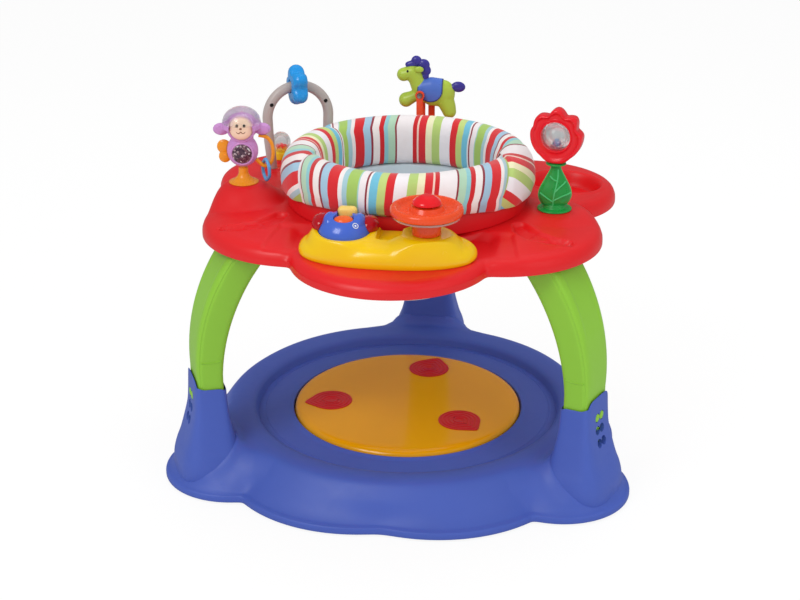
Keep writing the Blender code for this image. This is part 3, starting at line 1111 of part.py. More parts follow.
SADDLE_WIDTH = 0.035
saddle = block("horse_saddle", (SADDLE_WIDTH, HORSE_THICKNESS + 2 * (FIT + SADDLE_SKIN), 0.036),
               (0.0260, 0.0, 0.5670), 0.001)
place(saddle, "blue plastic", horse_home, (*HORSE_AT, 0.0))
saddle_gap = horse_plate("saddle_gap", grown(HORSE, FIT), HORSE_THICKNESS + 2 * FIT)
mane_gap = horse_plate("mane_gap", grown(MANE[::-1], FIT), 0.0126)
cut(saddle, place(saddle_gap, **on_horse), place(mane_gap, **on_horse))

FORK_BOTTOM = SOCKET_PAD_TOP + FIT
arm_middle = FORK_GAP / 2 + FORK_ARM / 2
fork_base = block("horse_post", (0.024, FORK_GAP + 2 * FORK_ARM + 0.001, 0.030), (0.0, 0.0, FORK_BOTTOM + 0.015), 0.003)
post = place(fork_base, "orange plastic", tray_home, (*HORSE_AT, 0.0))
arm_outline = [(-0.006, FORK_BOTTOM + 0.012), (0.006, FORK_BOTTOM + 0.012)]
arm_outline += [(0.0085 * math.cos(a), HORSE_PIVOT + 0.0085 * math.sin(a))
                for a in (math.radians(-45 + 30 * k) for k in range(10))]
for side in (-1, 1):
    arm = plate(f"fork_arm_{side}", [arm_outline], FORK_ARM)
    join(post, place(arm, at=(HORSE_AT[0], HORSE_AT[1] + side * arm_middle, 0.0), tilt=UPRIGHT))
lever = block("post_lever", (0.012, 0.005, 0.084), (0.0175, 0.0185, FORK_BOTTOM + 0.044), 0.001)
lever_foot = block("lever_foot", (0.018, 0.004, 0.012), (0.0120, 0.0183, FORK_BOTTOM + 0.0165))
join(post, place(lever_foot, at=(*HORSE_AT, 0.0)), place(lever, at=(*HORSE_AT, 0.0)))
cut(post, place(rod("post_pin_hole", PIN_RADIUS + FIT, -0.05, 0.05), **pin_bore))
PIN_HEAD = FORK_GAP / 2 + FORK_ARM + FIT
pin = turned("horse_pin", [
    (0.0, PIN_HEAD + 0.003), (0.0045, PIN_HEAD + 0.0025), (0.0055, PIN_HEAD), (PIN_RADIUS, PIN_HEAD),
    (PIN_RADIUS, -PIN_HEAD), (0.0, -PIN_HEAD)], 14)
place(pin, "steel", tray_home, (*HORSE_AT, HORSE_PIVOT), 0.0, UPRIGHT)
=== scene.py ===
"""Baby activity center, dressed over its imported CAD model."""

import math

import bmesh
import bpy
from mathutils import Matrix, Vector
from mathutils.bvhtree import BVHTree


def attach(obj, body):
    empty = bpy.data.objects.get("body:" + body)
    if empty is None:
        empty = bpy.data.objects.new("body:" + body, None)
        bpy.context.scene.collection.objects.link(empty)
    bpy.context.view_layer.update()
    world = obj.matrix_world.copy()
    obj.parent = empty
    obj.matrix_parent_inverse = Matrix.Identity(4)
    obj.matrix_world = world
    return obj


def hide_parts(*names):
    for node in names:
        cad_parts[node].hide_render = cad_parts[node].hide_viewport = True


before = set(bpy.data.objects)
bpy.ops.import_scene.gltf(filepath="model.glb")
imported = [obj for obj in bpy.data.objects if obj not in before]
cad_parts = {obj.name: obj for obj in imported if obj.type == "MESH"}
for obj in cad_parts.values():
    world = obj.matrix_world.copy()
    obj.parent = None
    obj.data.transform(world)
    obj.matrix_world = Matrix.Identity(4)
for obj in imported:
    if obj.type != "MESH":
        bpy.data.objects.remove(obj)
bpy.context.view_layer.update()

# Camera: a long lens a little above the tray and slightly to the right of its middle, where the photograph
# was taken from.
CAMERA_AT = (0.30452, -2.50491, 1.32038)
LOOK = Vector((-0.116041, 0.914401, -0.38782))
LENS_MM = 71.1
camera = bpy.data.objects.new("camera", bpy.data.cameras.new("camera"))
camera.data.lens = LENS_MM
camera.data.sensor_width = 36.0
side = LOOK.cross(Vector((0.0, 0.0, 1.0))).normalized()
camera.matrix_world = (Matrix.Translation(CAMERA_AT)
                       @ Matrix((side, side.cross(LOOK), -LOOK)).transposed().to_4x4())
bpy.context.scene.collection.objects.link(camera)
bpy.context.scene.camera = camera
bpy.context.scene.view_settings.view_transform = "Standard"


# Studio: a pale floor and world that the camera sees as white and gloss sees dimmer, with three large soft
# lamps over the object. The floor is matt paper and keeps the shadow.
def linear(colour):
    """A colour written as sRGB hex, as the linear values that the shader takes."""
    values = (int(colour[k:k + 2], 16) / 255 for k in (1, 3, 5))
    return (*(v / 12.92 if v <= 0.04045 else ((v + 0.055) / 1.055) ** 2.4 for v in values), 1.0)


def add(tree, kind, settings=None, **inputs):
    """Adds a node. settings are its own properties, inputs its sockets' values or what is linked to them."""
    node = tree.nodes.new("ShaderNode" + kind)
    for key, value in (settings or {}).items():
        setattr(node, key, value)
    for key, value in inputs.items():
        socket = node.inputs[int(key[1:])] if key[1:].isdigit() else node.inputs[key.replace("_", " ")]
        if isinstance(value, bpy.types.NodeSocket):
            tree.links.new(value, socket)
        else:
            socket.default_value = value
    return node


WORLD_LIGHT = 0.62
MIRRORED_LIGHT = 0.2
FLOOR_SIZE = 14.0
FLOOR_WHITE, FLOOR_MIRRORED, FLOOR_GLOW = 1.03, 0.32, 0.86
world = bpy.data.worlds.new("studio")
world.use_nodes = True
tree = world.node_tree
tree.nodes.clear()
ray = add(tree, "LightPath")
seen = add(tree, "Math", {"operation": "MAXIMUM"}, i0=ray.outputs["Is Camera Ray"],
           i1=ray.outputs["Is Transmission Ray"])
dim = add(tree, "MapRange", None, Value=ray.outputs["Is Glossy Ray"], To_Min=WORLD_LIGHT,
          To_Max=MIRRORED_LIGHT)
level = add(tree, "MapRange", None, Value=seen.outputs[0], To_Min=dim.outputs[0], To_Max=1.0)
sky = add(tree, "Background", None, Color=linear("#ffffff"), Strength=level.outputs[0])
add(tree, "OutputWorld", None, Surface=sky.outputs[0])
bpy.context.scene.world = world

bm = bmesh.new()
bmesh.ops.create_grid(bm, x_segments=1, y_segments=1, size=FLOOR_SIZE)
mesh = bpy.data.meshes.new("studio_floor")
bm.to_mesh(mesh)
bm.free()
floor = bpy.data.objects.new("studio_floor", mesh)
bpy.context.scene.collection.objects.link(floor)
paper = bpy.data.materials.new("white paper backdrop")
paper.use_nodes = True
tree = paper.node_tree
tree.nodes.clear()
ray = add(tree, "LightPath")
seen = add(tree, "Math", {"operation": "MAXIMUM"}, i0=ray.outputs["Is Camera Ray"],
           i1=ray.outputs["Is Glossy Ray"])
seen = add(tree, "Math", {"operation": "MAXIMUM"}, i0=seen.outputs[0], i1=ray.outputs["Is Transmission Ray"])
share = add(tree, "Math", {"operation": "MULTIPLY"}, i0=seen.outputs[0], i1=FLOOR_GLOW)
matt = add(tree, "BsdfDiffuse", None, Color=linear("#f4f4f4"))
bright = add(tree, "MapRange", None, Value=ray.outputs["Is Glossy Ray"], To_Min=FLOOR_WHITE,
             To_Max=FLOOR_MIRRORED)
glow = add(tree, "Emission", None, Color=linear("#ffffff"), Strength=bright.outputs[0])
mixed = add(tree, "MixShader", None, i0=share.outputs[0], i1=matt.outputs[0], i2=glow.outputs[0])
add(tree, "OutputMaterial", None, Surface=mixed.outputs[0])
mesh.materials.append(paper)

LAMPS = (("key", (-1.5, -2.3, 2.7), 1.5, 36.0), ("fill", (2.3, -1.7, 2.0), 1.8, 18.0),
         ("top", (0.2, 1.0, 2.9), 2.0, 20.0))
for name, at, size, watts in LAMPS:
    lamp = bpy.data.lights.new(name, "AREA")
    lamp.size = size
    lamp.energy = watts
    holder = bpy.data.objects.new(name, lamp)
    holder.location = at
    holder.visible_glossy = name == "key"
    holder.rotation_euler = (Vector((0.0, 0.0, 0.25)) - Vector(at)).to_track_quat("-Z", "Y").to_euler()
    bpy.context.scene.collection.objects.link(holder)


# Base: a large moulding with a round well, a raised crest and nine soft lobes that end in a rolled lip.
# Blue polypropylene from a textured tool: matt, with a fine sandy grain and no sharp edges.
GRAIN_DRAWN = 3.03  # the tool's grain is too fine to show, so it is drawn this many times as coarse


def fresh(name):
    """A new material, its tree, its shader, and the socket that gives a point's place on the object."""
    material = bpy.data.materials.new(name)
    material.use_nodes = True
    tree = material.node_tree
    return material, tree, tree.nodes["Principled BSDF"], add(tree, "TexCoord").outputs["Object"]


def opaque(name, colour, rough=0.42, grain=0.45, bump=0.1, ior=1.49, mottle=0.05, coat=0.0, metal=False):
    """Moulded plastic, rubber, ink or steel. grain is its texture's size in mm, mottle its colour's drift."""
    material, tree, shader, place = fresh(name)
    base = linear(colour)
    drift = add(tree, "TexNoise", None, Vector=place, Scale=1000 / 111, Detail=3.0, Roughness=0.6)
    tone = add(tree, "MixRGB", None, Fac=drift.outputs["Fac"],
               Color1=(*(c * (1 - mottle) for c in base[:3]), 1.0),
               Color2=(*(min(1.0, c * (1 + mottle)) for c in base[:3]), 1.0))
    tree.links.new(tone.outputs[0], shader.inputs["Base Color"])
    scuff = add(tree, "TexNoise", None, Vector=place, Scale=1000 / 16.7, Detail=4.0, Roughness=0.7)
    rub = add(tree, "MapRange", None, Value=scuff.outputs["Fac"], From_Min=0.3, From_Max=0.75,
              To_Min=max(0.02, rough - 0.05), To_Max=rough + 0.05)
    tree.links.new(rub.outputs[0], shader.inputs["Roughness"])
    pits = add(tree, "TexNoise", None, Vector=place, Scale=1000 / (GRAIN_DRAWN * grain), Detail=2.0,
               Roughness=0.6)
    dent = add(tree, "Bump", None, Strength=bump, Distance=0.0004, Height=pits.outputs["Fac"])
    tree.links.new(dent.outputs[0], shader.inputs["Normal"])
    if metal:
        shader.inputs["Metallic"].default_value = 1.0
    else:
        shader.inputs["IOR"].default_value = ior
    shader.inputs["Coat Weight"].default_value = coat
    shader.inputs["Coat Roughness"].default_value = 0.05
    return material


def fit(name, bm, material, body, slot, *replaced, sub=0):
    """Makes the mesh a smooth piece at the origin, and tells the frame what it rides on and stands for."""
    bmesh.ops.remove_doubles(bm, verts=bm.verts, dist=0.00001)
    bmesh.ops.recalc_face_normals(bm, faces=bm.faces)
    made = bpy.data.meshes.new(name)
    bm.to_mesh(made)
    bm.free()
    made.shade_smooth()
    made.set_sharp_from_angle(angle=math.radians(50))
    made.materials.append(material)
    piece = bpy.data.objects.new(name, made)
    bpy.context.scene.collection.objects.link(piece)
    if sub:
        smooth = piece.modifiers.new("smooth", "SUBSURF")
        smooth.levels = sub
        smooth.render_levels = sub
    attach(piece, body)
    if replaced:
        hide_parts(*replaced)
    return piece


def formed(across, along, shape):
    """A grid of across by along faces, each point put where shape(u, v) says, with u and v from 0 to 1."""
    bm = bmesh.new()
    grid = bmesh.ops.create_grid(bm, x_segments=across, y_segments=along, size=0.5)
    for vert in grid["verts"]:
        vert.co = shape(vert.co.x + 0.5, vert.co.y + 0.5)
    bmesh.ops.remove_doubles(bm, verts=bm.verts, dist=0.00001)
    bmesh.ops.dissolve_degenerate(bm, edges=bm.edges, dist=0.000001)
    return bm


def worked(bm, *steps):
    """The mesh after modifiers, each a kind and its settings, where a mesh is the Boolean's other object."""
    used = []

    def held(source):
        shape = bpy.data.meshes.new("work")
        source.to_mesh(shape)
        source.free()
        used.append(bpy.data.objects.new("work", shape))
        bpy.context.scene.collection.objects.link(used[-1])
        return used[-1]

    body = held(bm)
    for kind, settings in steps:
        modifier = body.modifiers.new(kind, kind)
        for key, value in settings.items():
            setattr(modifier, key, held(value) if isinstance(value, bmesh.types.BMesh) else value)
    result = bmesh.new()
    shape = bpy.data.meshes.new_from_object(body.evaluated_get(bpy.context.evaluated_depsgraph_get()))
    result.from_mesh(shape)
    for obj in used:
        bpy.data.objects.remove(obj)
    return result


def around(radius, degrees):
    return radius * math.cos(math.radians(degrees)), radius * math.sin(math.radians(degrees))


def fade(value, low, high):
    """0 below low, 1 above high, smooth between; low may be the larger."""
    share = min(1.0, max(0.0, (value - low) / (high - low)))
    return share * share * (3 - 2 * share)


def curved(points, steps):
    """A smooth line through the points, with its ends kept."""
    line = []
    for k in range(len(points) - 1):
        near = [points[min(max(k + j, 0), len(points) - 1)] for j in (-1, 0, 1, 2)]
        for n in range(steps):
            t = n / steps
            line.append(tuple(0.5 * (2 * b + (c - a) * t + (2 * a - 5 * b + 4 * c - d) * t ** 2
                                     + (3 * b - a - 3 * c + d) * t ** 3) for a, b, c, d in zip(*near)))
    return [*line, tuple(points[-1])]


def reach(degrees, lobes, crisp=200.0):
    """How far the outline of the joined round lobes lies from the axis. A lower crisp softens the notches."""
    total = 0.0
    for at, centre, radius in lobes:
        turn = math.radians(degrees - at)
        offset = centre * math.sin(turn)
        if abs(offset) < radius:
            total += math.exp(crisp * (centre * math.cos(turn) + math.sqrt(radius ** 2 - offset ** 2)))
    return math.log(total) / crisp


base_blue = opaque("moulded blue polypropylene", "#4660bd", rough=0.48, grain=0.8, bump=0.25, mottle=0.07)
BASE_LOBES = ((4, 0.15, 0.215), (56, 0.15, 0.23), (124, 0.15, 0.23), (176, 0.15, 0.215), (244, 0.15, 0.23),
              (296, 0.15, 0.23), (212, 0.325, 0.118), (328, 0.325, 0.118), (90, 0.325, 0.118))
CREST = 0.304
WELL_ROWS = ((0.2015, 0, 0.0463), (0.2015, 0, 0.059), (0.2022, 0, 0.0603), (0.2035, 0, 0.0608),
             (0.205, 0, 0.0606), (0.2068, 0, 0.0594), (0.21, 0, 0.058), (0.215, 0, 0.0575), (0.25, 0, 0.0575),
             (0.2503, 0, 0.057), (0.2512, 0, 0.057), (0.2515, 0, 0.0575), (0.2555, 0, 0.0571),
             (0.259, 0, 0.0558), (0.263, 0, 0.0556), (0.265, 0, 0.0585), (0.2666, 0, 0.0645),
             (0.27, 0, 0.0688), (0.2775, 0, 0.0716), (0.286, 0, 0.0733), (0.295, 0, 0.0742))
SLOPE_ROWS = curved(((CREST, 0, 0.0745), (CREST, 0.2, 0.07), (CREST, 0.45, 0.0499), (CREST, 0.68, 0.029),
                     (CREST, 0.84, 0.0186), (CREST, 0.93, 0.016), (CREST, 0.97, 0.015)), 5)
LIP_ROWS = ((CREST, 0.985, 0.014), (CREST, 0.995, 0.0122), (CREST, 1, 0.01), (CREST, 1, 0.005),
            (0.3035, 1, 0.0036), (0.3025, 1, 0.003), (0.3015, 1, 0.003), (0.301, 1, 0.004),
            (0.301, 0.97, 0.0105), (0.301, 0.86, 0.012), (0.301, 0.68, 0.0245), (0.301, 0.45, 0.046),
            (0.301, 0.2, 0.066), (CREST, 0, 0.0712), (0.289, 0, 0.069), (0.271, 0, 0.053), (0.256, 0, 0.053),
            (0.2045, 0, 0.0545), (0.2045, 0, 0.0463))
BASE_ROWS = (*WELL_ROWS, *SLOPE_ROWS, *LIP_ROWS)
LEGS = (("left", 212.0, 204.5), ("right", 328.0, 335.5), ("rear", 90.0, 90.0))
LEG_RADIUS = 0.3677
FOOTPRINT, FOOT_POWER = (0.043, 0.058, 0.067), 2.6
SWELL = 0.011
MOUTH = (0.0263, 0.0418)
SOCKET_PLAY = 0.0008
SOFT_NOTCH, CRISP_NOTCH = 45.0, 200.0


def standing(at, degrees=0.0, height=0.0):
    """The matrix that turns a piece about the upright axis and puts it at the place."""
    return Matrix.Translation((*at, height)) @ Matrix.Rotation(math.radians(degrees), 4, "Z")


def placed(bm, matrix):
    bmesh.ops.transform(bm, matrix=matrix, verts=bm.verts)
    return bm


TO_LEG = {name: standing(around(LEG_RADIUS, angle), facing) for name, angle, facing in LEGS}


def base_point(u, v):
    row = round(v * len(BASE_ROWS))
    start, share, z = BASE_ROWS[row % len(BASE_ROWS)]
    crisp = SOFT_NOTCH + (CRISP_NOTCH - SOFT_NOTCH) * fade(share, 0.4, 1.0)
    x, y = around(start + share * (reach(360 * u, BASE_LOBES, crisp) - CREST), 360 * u)
    if len(WELL_ROWS) - 3 <= row < len(WELL_ROWS) + len(SLOPE_ROWS):
        # round each leg the base rises in a step at the tower's foot and in a long slope outside it
        for to_leg in TO_LEG.values():
            out, across, _ = to_leg.inverted() @ Vector((x, y, 0.0))
            far = abs(out / FOOTPRINT[out > 0]) ** FOOT_POWER + abs(across / FOOTPRINT[2]) ** FOOT_POWER
            far **= 1 / FOOT_POWER
            z += SWELL * fade(far, 1.32, 0.96) ** 2 * fade(share, 0.97, 0.75)
            z += SWELL * fade(far, 1.75, 1.0) * fade(share, 0.985, 0.8) * fade(share, 0.02, 0.3)
    return x, y, z


def squared(angle, depth, width, power=0.3):
    """A point on a rounded rectangle. A lower power squares its corners."""
    c, s = math.cos(angle), math.sin(angle)
    return math.copysign(depth * abs(c) ** power, c), math.copysign(width * abs(s) ** power, s)


def cut_away(bm, *cutters, operation="DIFFERENCE"):
    """The mesh less each cutter, or joined or crossed with it. All of them are used up."""
    for shape in (bm, *cutters):
        bmesh.ops.recalc_face_normals(shape, faces=shape.faces)
    return worked(bm, *(("BOOLEAN", {"operation": operation, "solver": "EXACT", "object": cutter})
                        for cutter in cutters))


def socket_point(u, v):
    """The room that a leg's socket takes in the base, a little narrower than the socket's wall."""
    row = round(v * 3)
    edge = (0.0, 0.0)
    if row in (1, 2):
        edge = squared(2 * math.pi * u, MOUTH[0] - SOCKET_PLAY, MOUTH[1] - SOCKET_PLAY)
    return *edge, (0.004, 0.12)[row > 1]


sockets = [placed(formed(64, 3, socket_point), to_leg) for to_leg in TO_LEG.values()]
bm = cut_away(formed(720, len(BASE_ROWS), base_point), *sockets)
fit("base_moulding", bm, base_blue, "base", "base_blue", "base_shell")


# Towers: the three sockets of the same moulding, which swell into the base and hold the legs.
# The outer face rises to a peak round the latch, and the latch shows through three pairs of round holes.
def tube(bm, start, end, radius, sides=24):
    """Adds a closed round bar between two points."""
    start, end = Vector(start), Vector(end)
    turn = (end - start).to_track_quat("Z", "Y").to_matrix().to_4x4()
    bmesh.ops.create_cone(bm, cap_ends=True, segments=sides, radius1=radius, radius2=radius,
                          depth=(end - start).length, matrix=Matrix.Translation((start + end) / 2) @ turn)
    return bm


def cuboid(bm, size, centre):
    made = bmesh.ops.create_cube(bm, size=1.0)["verts"]
    bmesh.ops.scale(bm, vec=size, verts=made)
    bmesh.ops.translate(bm, vec=centre, verts=made)
    return bm


def melted(bm, voxel, rounds):
    """One smooth skin round everything in the mesh."""
    bmesh.ops.recalc_face_normals(bm, faces=bm.faces)
    return worked(bm, ("REMESH", {"mode": "VOXEL", "voxel_size": voxel}),
                  ("SMOOTH", {"factor": 0.5, "iterations": rounds}))


CAVITY = (0.0233, 0.0388)
FLOOR_UNDER, FLOOR_TOP = 0.0065, 0.0095
TOWER_ROWS = [(FLOOR_UNDER, 0.0, 0.0, 0.0, 0.3), (0.019, 0.0, 0.0, 0.0, 0.3)] + curved((
    # height, how far the wall stands outside the mouth inward, outward and sideways, and how square it is
    (0.02, 0.019, 0.0335, 0.0235, 0.68), (0.03, 0.0195, 0.0335, 0.0262, 0.68), (0.045, 0.019, 0.0318, 0.0265, 0.63),
    (0.062, 0.0165, 0.0262, 0.0225, 0.55), (0.08, 0.013, 0.0188, 0.0155, 0.48), (0.105, 0.0075, 0.011, 0.0085, 0.39),
    (0.13, 0.003, 0.0045, 0.0034, 0.33), (0.148, 0.0012, 0.0018, 0.0012, 0.3), (0.173, 0.0, 0.0, 0.0, 0.3)), 5)
RIM_ROWS = ((0.1744, 0.0003), (0.175, 0.0008), (0.175, 0.0013), (0.1742, 0.0018))
TOWER_STEPS = len(TOWER_ROWS) + len(RIM_ROWS) + 4
RIM_RISE, PEAK = 0.009, 0.011
HOLE_HEIGHTS, HOLE_RADIUS = (0.159, 0.137, 0.115), 0.0077
NOSE_SPREAD = 0.0076


def tower_point(u, v):
    angle = 2 * math.pi * u
    c = math.cos(angle)
    row = round(v * TOWER_STEPS)
    lift = RIM_RISE * fade(c, -0.9, 0.8) + PEAK * max(0.0, (c - 0.8) / 0.2)
    if row in (0, TOWER_STEPS):
        return 0.0, 0.0, (FLOOR_UNDER, FLOOR_TOP)[row > 0]
    if row <= len(TOWER_ROWS):
        z, inward, outward, sideways, power = TOWER_ROWS[row - 1]
        x, y = squared(angle, MOUTH[0] + (outward if c > 0 else inward), MOUTH[1] + sideways, power)
        return x, y, z + lift * fade(z, 0.13, 0.173)
    row -= len(TOWER_ROWS) + 1
    if row < len(RIM_ROWS):
        z, inset = RIM_ROWS[row]
        return *squared(angle, MOUTH[0] - inset, MOUTH[1] - inset), z + lift
    z, wide = ((0.17 + lift, 0.0012), (0.156, 0.0012), (FLOOR_TOP, 0.0))[row - len(RIM_ROWS)]
    return *squared(angle, CAVITY[0] + wide, CAVITY[1] + wide), z


for name, to_leg in TO_LEG.items():
    holes = bmesh.new()
    for height in HOLE_HEIGHTS:
        for offset in (-NOSE_SPREAD, NOSE_SPREAD):
            tube(holes, (0.015, offset, height), (0.08, offset, height), HOLE_RADIUS)
        cuboid(holes, (0.065, 0.012, 0.005), (0.0475, 0.0, height))
    bm = cut_away(formed(96, TOWER_STEPS, tower_point), melted(holes, 0.0006, 4))
    fit(f"tower_{name}", placed(bm, to_leg), base_blue, "base", "base_blue")

# Carrier dish and feet: a black polypropylene dish that holds the pad's buffers, and matt black rubber feet
# under it and under each leg. They are seen only from below.
dish_black = opaque("moulded black polypropylene", "#26262a", rough=0.5, grain=0.6, bump=0.2)
foot_rubber = opaque("moulded black rubber", "#1d1d1f", rough=0.8, grain=0.9, bump=0.5, ior=1.52)


def refinish(material, *nodes):
    for node in nodes:
        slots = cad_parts[node].material_slots
        if not slots:
            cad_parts[node].data.materials.append(material)
        for slot in slots:
            slot.material = material


refinish(dish_black, "pad_carrier")
refinish(foot_rubber, "foot_centre", "foot_left", "foot_right", "foot_rear")


# Bounce pad: a thick disc of yellow ABS with a rolled edge, which gives a little under the feet and is polished
# so that it mirrors the legs softly.
# Three drops of satin red PVC are let into it, each with raised rings, their points outward.
def turned(profile, steps=96, at=(0.0, 0.0)):
    """A line of (radius, height) points spun about the upright axis through the place at."""
    bm = bmesh.new()
    line = [bm.verts.new((radius, 0.0, z)) for radius, z in profile]
    edges = [bm.edges.new(pair) for pair in zip(line, line[1:])]
    if profile[0][0] > 0.0:
        edges.append(bm.edges.new((line[-1], line[0])))
    bmesh.ops.spin(bm, geom=line + edges, cent=(0, 0, 0), axis=(0, 0, 1), angle=2 * math.pi, steps=steps,
                   use_merge=True)
    bmesh.ops.remove_doubles(bm, verts=bm.verts, dist=0.00001)
    bmesh.ops.dissolve_degenerate(bm, edges=bm.edges, dist=0.000001)
    bmesh.ops.translate(bm, vec=(*at, 0.0), verts=bm.verts)
    return bm


def eased(points, radius, steps=3, ring=True):
    """The outline with its corners rounded to the radius, or as far as their sides allow. Without ring, its two
    ends are kept."""
    line = []
    for k, point in enumerate(points):
        here = Vector(point)
        if not ring and k in (0, len(points) - 1):
            line.append(tuple(point))
            continue
        before, after = Vector(points[k - 1]) - here, Vector(points[(k + 1) % len(points)]) - here
        cut = min(radius, 0.45 * before.length, 0.45 * after.length)
        start, end = here + before.normalized() * cut, here + after.normalized() * cut
        for n in range(steps + 1):
            t = n / steps
            line.append(tuple((1 - t) ** 2 * start + 2 * t * (1 - t) * here + t ** 2 * end))
    return line


pad_yellow = opaque("polished yellow ABS", "#f2a900", rough=0.16, grain=2.5, bump=0.03, ior=1.54, mottle=0.04,
                    coat=0.25)
PAD_LINE = ((0.0, 0.0672), (0.06, 0.0672), (0.12, 0.0671), (0.168, 0.067), (0.183, 0.0668), (0.1895, 0.0663),
            (0.1945, 0.065), (0.1975, 0.0627), (0.199, 0.0595), (0.1995, 0.054), (0.1995, 0.046),
            (0.206, 0.046), (0.206, 0.043), (0.1965, 0.043), (0.1965, 0.056), (0.168, 0.064), (0.0, 0.064))
fit("pad_moulding", turned(PAD_LINE, 160), pad_yellow, "pad", "pad_yellow", "pad_disc")

# Buffers: each a matt rubber cup on the dish and a plunger under the pad, which sinks into the cup.
# They stand under the pad, out of sight.
CUP_LINE = ((0.0, 0.0093), (0.014, 0.0093), (0.014, 0.0515), (0.0135, 0.052), (0.0117, 0.052),
            (0.0112, 0.0515), (0.0112, 0.038), (0.0, 0.038))
PLUNGER_LINE = ((0.0, 0.0637), (0.014, 0.0637), (0.014, 0.0625), (0.01, 0.0618), (0.01, 0.05), (0.0, 0.05))
for k in range(3):
    at = around(0.12, 90 + 120 * k)
    fit(f"buffer_cup_{k + 1}", turned(CUP_LINE, 48, at), foot_rubber, "base", "rubber", f"pad_buffer_{k + 1}")
    fit(f"buffer_plunger_{k + 1}", turned(PLUNGER_LINE, 48, at), foot_rubber, "pad", "rubber")

drop_red = opaque("moulded red PVC", "#d01420", rough=0.32, grain=0.5, bump=0.12, ior=1.53)
DROP_BODY, DROP_TIP = 0.0365, 0.0499
DROPS = (("left", 189.0, 0.1347, 196.6), ("rear", 79.7, 0.1343, 74.0), ("right", 324.7, 0.1213, 315.5))


def drop_line(scale, count=96):
    """A round body whose straight sides meet in a softened tip, at a share of its full size."""
    lean = math.acos(DROP_BODY / DROP_TIP)
    line = []
    for k in range(count):
        angle = 2 * math.pi * (k / count - (k > count / 2))
        away = DROP_BODY / math.cos(max(0.0, lean - abs(angle)))
        away -= 0.0022 * fade(abs(angle), 0.14, 0.0)
        line.append((scale * away * math.cos(angle), scale * away * math.sin(angle)))
    return line


RIPPLES = [(1.0, 0.0673), (1.0, 0.068), (0.985, 0.0684), (0.945, 0.0685), (0.925, 0.0681)]
for top in (0.8, 0.62, 0.44, 0.26):
    RIPPLES += [(top + 0.05, 0.0679), (top + 0.03, 0.0684), (top - 0.03, 0.0684), (top - 0.05, 0.0679)]
RIPPLES.append((0.05, 0.0681))
for name, angle, radius, turn in DROPS:
    bm = bmesh.new()
    loops = []
    for scale, z in RIPPLES:
        line = [bm.verts.new((x, y, z)) for x, y in drop_line(scale)]
        loops.append([bm.edges.new((line[k - 1], line[k])) for k in range(len(line))])
    for low, high in zip(loops, loops[1:]):
        bmesh.ops.bridge_loops(bm, edges=low + high)
    bmesh.ops.contextual_create(bm, geom=loops[0])
    bmesh.ops.contextual_create(bm, geom=loops[-1])
    placed(bm, standing(around(radius, angle), turn))
    fit(f"pad_drop_{name}", bm, drop_red, "pad", "inlay_red", f"pad_inlay_{name}")

# Legs: three curved hollow legs of satin lime polypropylene, wider towards the tray and squared in section.
# Each slides in its tower and has a moulded rib, and a latch whose two round noses stand in the tower's holes.
leg_lime = opaque("moulded lime polypropylene", "#90cb38", rough=0.4, grain=0.5, bump=0.12, mottle=0.04)
LEG_LOW, LEG_STRAIGHT, LEG_ROOF, LEG_HIGH = 0.055, 0.2, 0.424, 0.428
LEG_BEND = 0.337
LEG_STEPS = 60
LATCH_HEIGHT = HOLE_HEIGHTS[0]
NOSE_LINE = ((0.0, 0.0291), (0.005, 0.0289), (0.0064, 0.0283), (0.0071, 0.027), (0.0072, 0.024),
             (0.0072, 0.0175), (0.0, 0.0175))


def swept(points, radius, sides=4, cyclic=False):
    """A round bar along the points, made as a curve with a bevel."""
    path = bpy.data.curves.new("path", "CURVE")
    path.dimensions = "3D"
    path.bevel_depth = radius
    path.bevel_resolution = sides
    path.use_fill_caps = not cyclic
    line = path.splines.new("POLY")
    line.points.add(len(points) - 1)
    for spot, point in zip(line.points, points):
        spot.co = (*point, 1.0)
    line.use_cyclic_u = cyclic
    holder = bpy.data.objects.new("path", path)
    bpy.context.scene.collection.objects.link(holder)
    bm = bmesh.new()
    bm.from_mesh(bpy.data.meshes.new_from_object(holder.evaluated_get(bpy.context.evaluated_depsgraph_get())))
    bpy.data.objects.remove(holder)
    return bm


def united(bm, *others):
    """Joins closed meshes into one that overlaps itself, ready for a voxel remesh."""
    for other in others:
        held = bpy.data.meshes.new("join")
        other.to_mesh(held)
        other.free()
        bm.from_mesh(held)
        bpy.data.meshes.remove(held)
    return bm


def leg_middle(z):
    """How far inward the curved leg's middle has come at a height, as a negative number."""
    return math.sqrt(LEG_BEND ** 2 - max(0.0, z - LEG_STRAIGHT) ** 2) - LEG_BEND


def leg_point(u, v):
    step = round(v * (LEG_STEPS + 10))
    angle = 2 * math.pi * u
    inner = step <= 5
    if step == 0:
        return leg_middle(LEG_ROOF), 0.0, LEG_ROOF
    if step == LEG_STEPS + 10:
        return leg_middle(LEG_HIGH), 0.0, LEG_HIGH
    if inner:
        z = (LEG_ROOF, 0.34, 0.26, 0.18, LEG_LOW)[step - 1]
    else:
        z = min(LEG_HIGH, LEG_LOW + (LEG_HIGH - LEG_LOW) * (step - 6) / (LEG_STEPS + 2))
    grown = max(0.0, z - LEG_STRAIGHT) / (LEG_HIGH - LEG_STRAIGHT)
    depth, width = 0.0225 + 0.0115 * grown, 0.038 + 0.011 * grown
    wall = 0.003 if inner else 0.0
    # a shallow panel is let into the outer face near the top, and a crease runs down beside the outer edge
    x, y = squared(angle, depth - wall, width - wall)
    if not inner:
        panel = fade(z, 0.3, 0.318) * fade(z, 0.418, 0.4) * fade(abs(y), 0.03, 0.026) * (x > 0)
        x -= 0.0012 * panel
        groove = fade(abs(x - 0.72 * depth), 0.0022, 0.0006) * (abs(y) > 0.9 * width)
        y -= math.copysign(0.0009 * groove, y)
    return x + leg_middle(z), y, z


def block(size, centre):
    return cuboid(bmesh.new(), size, centre)


